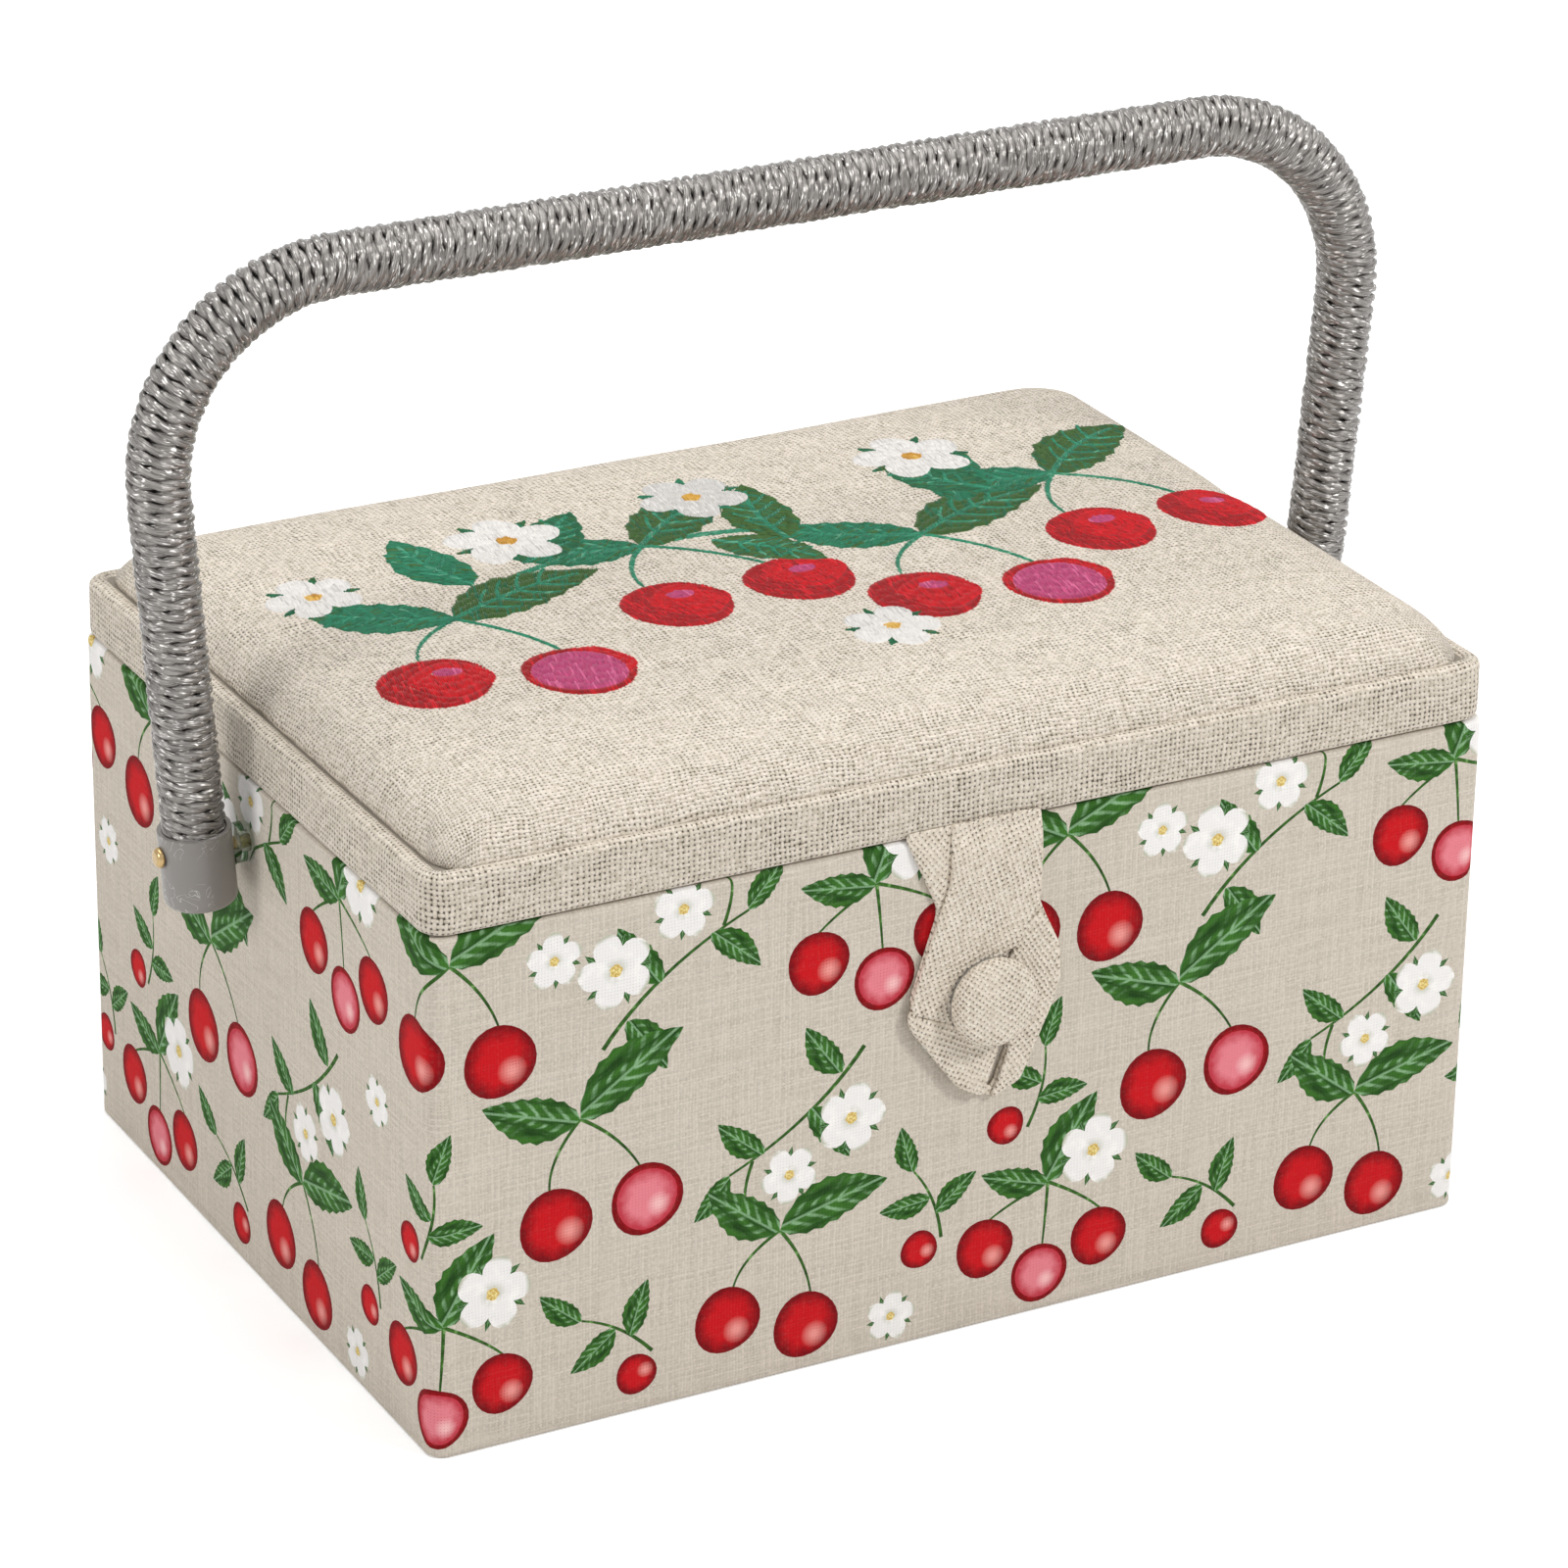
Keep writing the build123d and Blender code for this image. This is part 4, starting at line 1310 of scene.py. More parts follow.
@dataclass(frozen=True)
class Stitching:
    """A garland stitched on the padded top, every stitch a raised strand of thread.

    Attributes:
        NAMES: the name of the piece that each ink's thread makes.
        LEAN, LEAF_LEAN, STEM_LEAN: how far stitches turn from their shape's own way, in radians.
        HALF_WIDTH: half a stitch's width as a share of the pitch.
        ARCH: how high a stitch stands at shares of its length, as shares of its height.
        ROUND: the same across it, at shares of its half width.
        ABOVE: the height from which the cloth is looked for.
        CROWN: the cloth's height where none is found.
        pitch: distance between stitches.
        thread: height of a stitch over the cloth.
        shortest, longest: the shortest and the longest stitch.
        ragged: how far a stitch may reach past its shape.
    """

    NAMES = {Ink.STEM: "stitched_stems", Ink.LEAF: "stitched_leaves", Ink.CHERRY: "stitched_cherries",
             Ink.BLUSH: "stitched_blush", Ink.PETAL: "stitched_petals", Ink.POLLEN: "stitched_pollen"}
    LEAN = 1.5
    LEAF_LEAN = 0.95
    STEM_LEAN = 0.5
    HALF_WIDTH = 0.56
    ARCH = ((0.0, 0.0), (0.12, 0.75), (0.5, 1.0), (0.88, 0.75), (1.0, 0.0))
    ROUND = ((-1.0, -0.1), (-0.55, 0.75), (0.0, 1.0), (0.55, 0.75), (1.0, -0.1))
    ABOVE = 200.0
    CROWN = 148.5

    pitch: float = 0.46
    thread: float = 0.42
    shortest: float = 0.35
    longest: float = 4.2
    ragged: float = 0.45

    def veins(self, shape: Shape) -> list[Shape]:
        """Draw the veins that are stitched over a leaf.

        Args:
            shape: the leaf.

        Returns:
            Its midrib and its side veins.
        """
        size = shape.length
        foot = (shape.origin[0] + 0.03 * size * sin(shape.turn),
                shape.origin[1] - 0.03 * size * cos(shape.turn))
        drawn = [stem((0.0, 0.0), (size / 2, 0.12 * size), (0.88 * size, 0.02 * size), 1.5)]
        for share in (0.22, 0.36, 0.5, 0.64):
            spread = 0.17 * size * sin(pi * share ** 0.8)
            start = (share * size, 0.06 * size * sin(pi * share))
            for side in (-1, 1):
                bend = (start[0] + 0.05 * size, start[1] + side * spread * 0.6)
                end = (start[0] + 0.15 * size, start[1] + side * spread)
                drawn.append(stem(start, bend, end, 1.0))
        return [vein.moved(foot, degrees(shape.turn)) for vein in drawn]

    def composition(self) -> list[Shape]:
        """Lay out the garland on the lid.

        Returns:
            Its shapes, the lowest first.
        """
        placed = []
        branch = [(-78.0, 4.0), (-22.0, 24.0), (38.0, 2.0), (84.0, 22.0)]
        for start, end in zip(branch, branch[1:]):
            middle = ((start[0] + end[0]) / 2, (start[1] + end[1]) / 2 + 16)
            placed.append(stem(start, middle, end, 2.2))
        for place, turn, second in (((-78, 4), -8, Ink.BLUSH), ((-22, 24), 10, Ink.CHERRY),
                                    ((38, 2), -4, Ink.BLUSH), ((84, 22), 12, Ink.CHERRY)):
            for shape in cherry_pair(12.5, second):
                placed.append(shape.moved(place, turn))
                if shape.ink is Ink.CHERRY:
                    x, y = shape.origin
                    cheek = disc(Ink.CHERRY, (x + 1.6, y + 1.4), 9.0, 0.06, 4)
                    shine = disc(Ink.BLUSH, (x + 4.0, y + 4.4), 3.3, 0.1, 2, 14, 0.6)
                    placed += [cheek.moved(place, turn + 4), shine.moved(place, turn)]
        for place, turn, length in (((-66, 20), 100, 32), ((-44, 26), 55, 30), ((-6, 20), -50, 28),
                                    ((10, 14), 80, 34), ((56, 16), 60, 32), ((66, 20), 120, 30)):
            placed.append(leaf(place, turn, length, length * 0.5, 5))
        garland = []
        for shape in placed:
            garland += [shape, *self.veins(shape)] if shape.ink is Ink.LEAF else [shape]
        for place, radius, turn in (((-48, 40), 14.0, 10), ((2, 46), 13.0, 40), ((60, 46), 14.0, 20),
                                    ((-100, 30), 11.0, 30), ((6, -42), 11.0, 60)):
            garland += blossom(place, radius, turn)
        return garland

    def runs(self, shape: Shape, over: list[Shape]) -> list[tuple[Point, Point]]:
        """Fill a shape with stitches.

        Args:
            shape: the shape to fill.
            over: shapes stitched over this one, whose area is left out.

        Returns:
            The stitches, each as its two ends, split where they would be too long.
        """
        way = shape.turn + (self.LEAF_LEAN if shape.ink is Ink.LEAF else self.LEAN)
        if shape.ink is Ink.STEM:
            run = Vector(shape.outline[12]) - Vector(shape.outline[0])
            way = atan2(run.y, run.x) + self.STEM_LEAN
        along = Vector((cos(way), sin(way)))
        across = Vector((-along.y, along.x))
        own, *covering = ([(Vector(p).dot(along), Vector(p).dot(across)) for p in s.outline]
                          for s in (shape, *over))
        low, high = min(p[1] for p in own), max(p[1] for p in own)
        covering = [o for o in covering if min(p[1] for p in o) < high and max(p[1] for p in o) > low]
        found, level = [], low + self.pitch / 2
        seed = random.Random(len(shape.outline) + round(low * 10))
        while level < high:
            hidden = [stretch for outline in covering for stretch in inside(outline, level)]
            spans = [(a - seed.uniform(0, self.ragged), b + seed.uniform(0, self.ragged))
                     for a, b in inside(own, level)]
            for start, end in uncovered(spans, hidden):
                pieces = max(1, ceil((end - start) / self.longest))
                marks = [start] + [start + (end - start) * (k + seed.uniform(-0.25, 0.25)) / pieces
                                   for k in range(1, pieces)] + [end]
                found += [(tuple(along * a + across * level), tuple(along * b + across * level))
                          for a, b in zip(marks, marks[1:]) if b - a > self.shortest]
            level += self.pitch * seed.uniform(0.9, 1.1)
        return found

    def build(self, pad: Piece) -> list[Piece]:
        """Lay every stitch on the pad.

        Args:
            pad: the padded top.

        Returns:
            One piece for each kind of thread.
        """
        fabric = BVHTree.FromObject(pad, bpy.context.evaluated_depsgraph_get())
        shapes = self.composition()
        pieces = []
        for ink, name in self.NAMES.items():
            made = bmesh.new()
            made.loops.layers.uv.new(CLOTH_UV)
            seed = random.Random(name)
            for count, shape in enumerate(shapes):
                if shape.ink is not ink:
                    continue
                tone = round(shape.length * 7) % 3
                for start, end in self.runs(shape, shapes[count + 1:]):
                    tint = tone if seed.random() < 0.7 else seed.randrange(3)
                    self.stitch(made, fabric, start, end, tint)
            mesh = bpy.data.meshes.new(name)
            made.to_mesh(mesh)
            made.free()
            for thread in THREADS[ink]:
                mesh.materials.append(thread.material())
            pieces.append(finish_piece(mesh, THREADS[ink][0], "lid"))
        return pieces

    def stitch(self, made: BMesh, fabric: BVHTree, start: Point, end: Point, tint: int) -> None:
        """Add one arched strand between two places on the cloth.

        Args:
            made: the mesh that gets it.
            fabric: the cloth that it lies on.
            start, end: its two ends.
            tint: which of its threads it is stitched with.
        """
        cloth = made.loops.layers.uv[CLOTH_UV]
        run = Vector(end) - Vector(start)
        side = Vector((-run.y, run.x)).normalized() * self.pitch * self.HALF_WIDTH
        rings = []
        for share, rise in self.ARCH:
            middle = Vector(start) + run * share
            hit = fabric.ray_cast(Vector((*middle * MM, self.ABOVE * MM)), Vector((0, 0, -1)))
            ground = hit[0].z if hit[0] else self.CROWN * MM
            ring = []
            for offset, lift in self.ROUND:
                level = ground + self.thread * MM * (rise * max(lift, 0) + min(lift, 0))
                ring.append(made.verts.new((*(middle + side * offset) * MM, level)))
            rings.append(ring)
        last = len(self.ARCH) - 1
        for row in range(last):
            for column in range(last):
                corners = ((row, column), (row + 1, column), (row + 1, column + 1), (row, column + 1))
                face = made.faces.new([rings[a][b] for a, b in corners])
                face.material_index = tint
                for loop, (a, b) in zip(face.loops, corners):
                    loop[cloth].uv = (run.length * a / last * MM, (start[1] + b * self.pitch / last) * MM)


def inside(outline: Sequence[Point], level: float) -> list[Point]:
    """Find where a line across an outline lies inside it.

    Args:
        outline: the outline's points, each along and across.
        level: where the line lies across.

    Returns:
        The start and end of each stretch inside.
    """
    hits = sorted(a + (level - b) / (d - b) * (c - a)
                  for (a, b), (c, d) in zip(outline, [*outline[1:], outline[0]])
                  if (b - level) * (d - level) < 0)
    return list(zip(hits[::2], hits[1::2]))


def uncovered(runs: Sequence[Point], hidden: Sequence[Point]) -> list[Point]:
    """Cut the hidden stretches out of runs.

    Args:
        runs: the runs, each a start and an end.
        hidden: the hidden stretches, each a start and an end.

    Returns:
        What is left of the runs.
    """
    left = list(runs)
    for low, high in hidden:
        left = [(a, b) for start, end in left
                for a, b in ((start, min(end, low)), (max(start, high), end)) if b > a]
    return left


# Each thread has a duller and a brighter neighbour, so a stitched patch has the grain of real floss.
THREADS = {
    ink: [Strand(f"floss_{ink.name.lower()}_{count}", colour=tone, dark=low, roughness=0.45, fibre=0.12,
                 relief=0.05, sheen=0.0, specular=0.25) for count, (tone, low) in enumerate(pairs)]
    for ink, pairs in {
        Ink.STEM: [("#2c8a68", "#144c38"), ("#62a98a", "#2c6a4c"), ("#3a9e7a", "#186048")],
        Ink.LEAF: [("#14663f", "#083822"), ("#3e6426", "#203a14"), ("#1c7a56", "#0b4631")],
        Ink.CHERRY: [("#d20c19", "#88060e"), ("#b00813", "#68040a"), ("#de1f2b", "#980c14")],
        Ink.BLUSH: [("#d4608e", "#9c3a66"), ("#e27ca4", "#ac4876"), ("#c44e7e", "#882c56")],
        Ink.PETAL: [("#e2dfdc", "#bebab6"), ("#d6d3d0", "#b2aea9"), ("#ebe8e5", "#cac6c1")],
        Ink.POLLEN: [("#dcae48", "#a97c24"), ("#e6c068", "#b88c30"), ("#cf9a3c", "#98701c")],
    }.items()
}


@dataclass(frozen=True)
class WoundHandle:
    """The bail handle: two-ply cord wound close round its core, from cap to cap.

    Attributes:
        pivot: height of the handle's pins.
        foot: how far out its middle line is at the pins.
        tilt: how far its legs lean outwards, in degrees.
        top: height of the middle line of its bar.
        bend: radius of its bends.
        start: where the winding starts, up the leg from the pins.
        turn_pitch: distance between turns.
        turn_radius: radius of the cord's middle round the core.
        ply_offset: how far each ply's middle is from the cord's, out from the core and along it.
        ply_radius: how thick and how wide a pressed ply is, each as a radius.
        twist: length of cord in which its plies go round once.
        sides: sides of a ply.
        rings: rings of a ply's surface in one length of twist.
        step: how finely the handle's middle line is walked.
    """

    pivot: float = 107.3
    foot: float = 141.92
    tilt: float = 4.27
    top: float = 235.8
    bend: float = 42.0
    start: float = 3.0
    turn_pitch: float = 2.5
    turn_radius: float = 6.08
    ply_offset: Point = (0.34, 0.6)
    ply_radius: Point = (0.74, 1.0)
    twist: float = 12.6
    sides: int = 8
    rings: int = 11
    step: float = 0.030

    def centreline(self, step: float) -> tuple[np.ndarray, np.ndarray, np.ndarray]:
        """Walk the handle's middle line.

        Args:
            step: the distance between points.

        Returns:
            The distances walked, the points and the tangents there.
        """
        lean = radians(self.tilt)
        turned = pi / 2 + lean
        leg = (self.top - self.pivot) / cos(lean) - self.bend * tan(turned / 2) - self.start
        arc = self.bend * turned
        leg_direction = np.array([sin(lean), cos(lean)])
        bend_start = np.array([self.foot, self.pivot]) + (leg + self.start) * leg_direction
        inward = np.array([-cos(lean), sin(lean)])
        hub = bend_start + self.bend * inward
        bar = 2 * hub[0]
        total = 2 * (leg + arc) + bar
        s = np.arange(0.0, total, step)
        half = np.minimum(s, total - s)
        side = np.where(s <= total / 2, 1.0, -1.0)
        angle = np.clip((half - leg) / self.bend, 0.0, turned)
        heading = pi / 2 - lean + angle
        on_leg = bend_start[:, None] - leg_direction[:, None] * (leg - np.minimum(half, leg))
        on_bend = hub[:, None] + self.bend * np.array([np.cos(angle - lean), np.sin(angle - lean)])
        on_bar = np.array([hub[0] - (half - leg - arc), np.full_like(half, self.top)])
        place = np.where(half < leg, on_leg, np.where(half < leg + arc, on_bend, on_bar))
        points = np.stack([place[0] * side, np.zeros_like(s), place[1]], axis=1)
        tangents = np.stack([np.cos(heading), np.zeros_like(s), np.sin(heading) * side], axis=1)
        return s, points, tangents

    def build(self) -> list[Piece]:
        """Wind the cord round the handle.

        Returns:
            Its two plies.
        """
        s, points, tangents = self.centreline(self.step)
        uneven = 0.5 * np.sin(s / 17.0) + 0.3 * np.sin(s / 5.3 + 1.0) + 0.1 * np.sin(s / 2.9)
        around = 2 * pi * s / self.turn_pitch + uneven
        outward = np.cross(tangents, np.array([0.0, 1.0, 0.0]))
        level = np.array([0.0, 1.0, 0.0])
        radial = np.cos(around)[:, None] * outward + np.sin(around)[:, None] * level
        middle = points + (self.turn_radius + 0.03 * np.sin(s * 1.7))[:, None] * radial
        moved = np.linalg.norm(np.diff(middle, axis=0), axis=1)
        wound = np.concatenate([[0.0], np.cumsum(moved)])
        stations = np.arange(0.0, wound[-1], self.twist / self.rings)
        centre = np.stack([np.interp(stations, wound, middle[:, k]) for k in range(3)], axis=1)
        radial = np.stack([np.interp(stations, wound, radial[:, k]) for k in range(3)], axis=1)
        radial /= np.linalg.norm(radial, axis=1)[:, None]
        run = np.gradient(centre, axis=0)
        run /= np.linalg.norm(run, axis=1)[:, None]
        sideways = np.cross(run, radial)
        slack = 0.9 * np.sin(stations / 61.0) + 0.7 * np.sin(stations / 23.0)
        twist = 2 * pi * stations / self.twist + slack
        pieces = []
        for count, name in enumerate(("winding_ply_first", "winding_ply_second")):
            phase = twist + pi * count
            axis = (centre + self.ply_offset[0] * np.cos(phase)[:, None] * radial
                    + self.ply_offset[1] * np.sin(phase)[:, None] * sideways)
            turns = 2 * pi * np.arange(self.sides) / self.sides
            ring = (self.ply_radius[0] * np.cos(turns)[None, :, None] * radial[:, None, :]
                    + self.ply_radius[1] * np.sin(turns)[None, :, None] * sideways[:, None, :])
            verts = (axis[:, None, :] + ring).reshape(-1, 3) * MM
            mesh = self.tube(name, verts, len(stations), stations)
            piece = finish_piece(mesh, CORD, "handle")
            if not count:
                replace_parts(piece, "handle_winding")
            pieces.append(piece)
        return pieces

    def tube(self, name: str, verts: np.ndarray, rings: int, stations: np.ndarray) -> Mesh:
        """Join rings of points into a tube with its cloth UV map.

        Args:
            name: the mesh's name.
            verts: all ring points in metres.
            rings: how many rings there are.
            stations: each ring's distance along the cord.

        Returns:
            The tube's mesh.
        """
        ring, side = np.meshgrid(np.arange(rings - 1), np.arange(self.sides), indexing="ij")
        ring, side = ring.ravel(), side.ravel()
        nxt = (side + 1) % self.sides
        faces = np.stack([ring * self.sides + side, (ring + 1) * self.sides + side,
                          (ring + 1) * self.sides + nxt, ring * self.sides + nxt], axis=1)
        mesh = bpy.data.meshes.new(name)
        mesh.vertices.add(len(verts))
        mesh.vertices.foreach_set("co", verts.astype(np.float32).ravel())
        mesh.loops.add(faces.size)
        mesh.loops.foreach_set("vertex_index", faces.astype(np.int32).ravel())
        mesh.polygons.add(len(faces))
        mesh.polygons.foreach_set("loop_start", np.arange(0, faces.size, 4, dtype=np.int32))
        mesh.update(calc_edges=True)
        width = 2 * pi * self.ply_radius[1] / self.sides
        u = np.stack([stations[ring], stations[ring + 1], stations[ring + 1], stations[ring]], axis=1)
        v = np.stack([side, side, side + 1, side + 1], axis=1) * width
        flat = mesh.uv_layers.new(name=CLOTH_UV)
        flat.data.foreach_set("uv", (np.stack([u, v], axis=2) * MM).astype(np.float32).ravel())
        mesh.validate()
        return mesh


def rounded(outline: Sequence[Point], radius: float) -> list[Point]:
    """Round off an outline's corners.

    Args:
        outline: its points.
        radius: about how round they get.

    Returns:
        The rounded outline.
    """
    smooth = []
    for k, corner in enumerate(outline):
        here = Vector(corner)
        before, after = Vector(outline[k - 1]) - here, Vector(outline[(k + 1) % len(outline)]) - here
        reach = min(radius, before.length * 0.45, after.length * 0.45)
        start, end = here + before.normalized() * reach, here + after.normalized() * reach
        for step in range(5):
            t = step / 4
            smooth.append(tuple(start * (1 - t) ** 2 + here * (2 * t * (1 - t)) + end * t * t))
    return smooth


@dataclass(frozen=True)
class LoopClosure:
    """The folded linen loop that comes down from under the lid, and the button it goes round.

    Attributes:
        TOP: how far above the button's middle the loop's layers start.
        WHOLE, STRAND, BAND, FLANK: outlines of the under, over, lower and right layers.
        SLIT: outline of the slit in the under layer. All count from the button's middle.
        DOME: how far out from its middle and from its back the button's cloth goes, up to its rim.
        CAP: the same over its face.
        button_x, button_z: the button's middle on the front wall.
        button_back: the plane of the button's back.
        pleats: how many small pleats draw the button's cloth in.
        layer: thickness of one layer of the loop.
        roll: radius of the layers' rolled edges.
        back: the plane of the back layer's back.
        flat_from, flat_over: where the loop starts to be pressed flat under the lid, and over what height.
    """

    TOP = 41.6
    WHOLE = [(-20.7, TOP), (-12.0, 22.4), (-18.7, 1.7), (-3.0, -23.4), (2.4, -25.4), (9.2, -22.5),
             (16.7, -6.1), (18.9, 0.6), (18.3, 8.9), (15.1, 15.7), (12.8, 21.3), (13.2, TOP)]
    STRAND = [(-9.1, TOP), (-9.8, 28.0), (-12.0, 22.4), (-19.0, 1.2), (-18.2, -0.8), (-8.0, -5.4),
              (-3.0, 6.0), (8.0, 11.0), (12.8, 21.3), (13.2, TOP)]
    BAND = [(-18.9, 0.9), (-16.6, -1.6), (-9.7, -4.3), (-3.0, -7.0), (3.2, -8.5), (3.3, -13.6),
            (0.6, -21.4), (-0.8, -24.3), (-6.9, -20.6), (-18.9, -4.2), (-19.6, -1.2)]
    FLANK = [(5.9, -8.0), (5.9, -14.0), (3.2, -21.4), (1.7, -24.7), (2.4, -25.2), (9.2, -22.3),
             (16.5, -6.1), (18.7, 0.6), (18.1, 8.9), (13.9, 17.6), (8.0, 15.0), (5.0, 6.0)]
    SLIT = [(3.1, -4.0), (5.7, -4.0), (5.7, -14.1), (3.0, -21.3), (1.9, -22.8), (1.2, -21.4),
            (3.2, -13.8)]
    DOME = [(7.6, 0.05), (9.0, 0.2), (9.6, 0.8), (10.1, 1.6), (10.25, 2.2), (10.25, 3.2)]
    CAP = [(6.6, 5.28), (4.6, 5.42), (2.4, 5.52), (0.8, 5.56), (0.02, 5.57)]

    button_x: float = 1.6
    button_z: float = 82.4
    button_back: float = -95.4
    pleats: int = 19
    layer: float = 1.2
    roll: float = 0.55
    back: float = -92.7
    flat_from: float = 33.0
    flat_over: float = 6.5

    def button(self) -> Piece:
        """Cover the button: a low dome whose cloth is drawn in at the back in small pleats.

        Returns:
            The button's cover.
        """
        turns = [radians(15 * step) for step in range(1, 7)]
        rim = [(8.15 + 2.1 * cos(turn), 3.2 + 1.9 * sin(turn)) for turn in turns]
        grid = []
        for reach, out in [*self.DOME, *rim, *self.CAP]:
            row = []
            for k in range(73):
                turn = -2 * pi * k / 72
                pleat = 0.10 * sin(self.pleats * turn + 0.6 * sin(3 * turn))
                pleat *= max(0.0, 1 - out / 3.4)
                radius = reach + pleat if reach > 8 else reach
                spread = reach + max(0.0, 5.1 - out) * 0.9
                row.append((Vector((self.button_x + radius * cos(turn), self.button_back - out,
                                    self.button_z + radius * sin(turn))),
                            (spread * cos(turn + 0.7), spread * sin(turn + 0.7))))
            grid.append(row)
        piece = finish_piece(woven_grid("button_linen", grid), LOOP_LINEN, "box")
        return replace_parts(piece, "button_cover")

    def slab(self, name: str, outlines: Sequence[Sequence[Point]], back: float,
             weave_turn: float) -> Piece:
        """Cut one soft layer of the loop with rolled edges.

        Args:
            name: the layer's name.
            outlines: its outline and any slits in it, relative to the button.
            back: the plane of its back.
            weave_turn: which way its threads run, in degrees.

        Returns:
            The layer, not riding on anything yet.
        """
        drawing = bpy.data.curves.new(name, "CURVE")
        drawing.dimensions = "2D"
        drawing.fill_mode = "BOTH"
        for outline in outlines:
            spline = drawing.splines.new("POLY")
            spline.points.add(len(outline) - 1)
            for point, (x, z) in zip(spline.points, outline):
                point.co = (x * MM, z * MM, 0.0, 1.0)
            spline.use_cyclic_u = True
        drawing.extrude = (self.layer / 2 - self.roll) * MM
        drawing.bevel_depth = self.roll * MM
        drawing.bevel_resolution = 2
        drawing.offset = -self.roll * MM
        holder = bpy.data.objects.new(name, drawing)
        bpy.context.scene.collection.objects.link(holder)
        remesh = holder.modifiers.new("even", "REMESH")
        remesh.mode = "VOXEL"
        remesh.voxel_size = 0.0004
        smooth = holder.modifiers.new("soft", "SMOOTH")
        smooth.iterations = 3
        shaped = holder.evaluated_get(bpy.context.evaluated_depsgraph_get())
        mesh = bpy.data.meshes.new_from_object(shaped)
        bpy.data.objects.remove(holder)
        c, s = cos(radians(weave_turn)), sin(radians(weave_turn))
        flat = mesh.uv_layers.new(name=CLOTH_UV)
        places = [v.co.copy() for v in mesh.vertices]
        for loop, corner in zip(mesh.loops, flat.data):
            p = places[loop.vertex_index]
            corner.uv = (p.x * c + p.y * s, p.y * c - p.x * s + abs(p.z) * 0.8)
        middle = back - self.layer / 2
        wall = (self.back + 0.15) * MM
        for vert, p in zip(mesh.vertices, places):
            vert.co = (self.button_x * MM + p.x, middle * MM - p.z, self.button_z * MM + p.y)
            pressed = min(max((p.y / MM - self.flat_from) / self.flat_over, 0.0), 1.0)
            vert.co.y = wall + (vert.co.y - wall) * (1 - 0.6 * pressed * pressed)
        mesh.flip_normals()
        mesh.name = name
        return finish_piece(mesh, LOOP_LINEN, None)

    def build(self) -> list[Piece]:
        """Build the button and the loop.

        Returns:
            The button's cover and the loop's four layers.
        """
        button = self.button()
        under = self.slab("loop_under", [rounded(self.WHOLE, 2.4), self.SLIT], self.back, -52)
        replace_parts(under, "closure_loop")
        level = self.back - self.layer
        over = self.slab("loop_over", [rounded(self.STRAND, 1.6)], level, -74)
        lower = self.slab("loop_lower", [rounded(self.BAND, 1.8)], level - 0.15, -30)
        right = self.slab("loop_right", [rounded(self.FLANK, 1.4)], level + 0.2, -58)
        for layer in (under, over, lower, right):
            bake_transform(layer)
        return [button, under, over, lower, right]


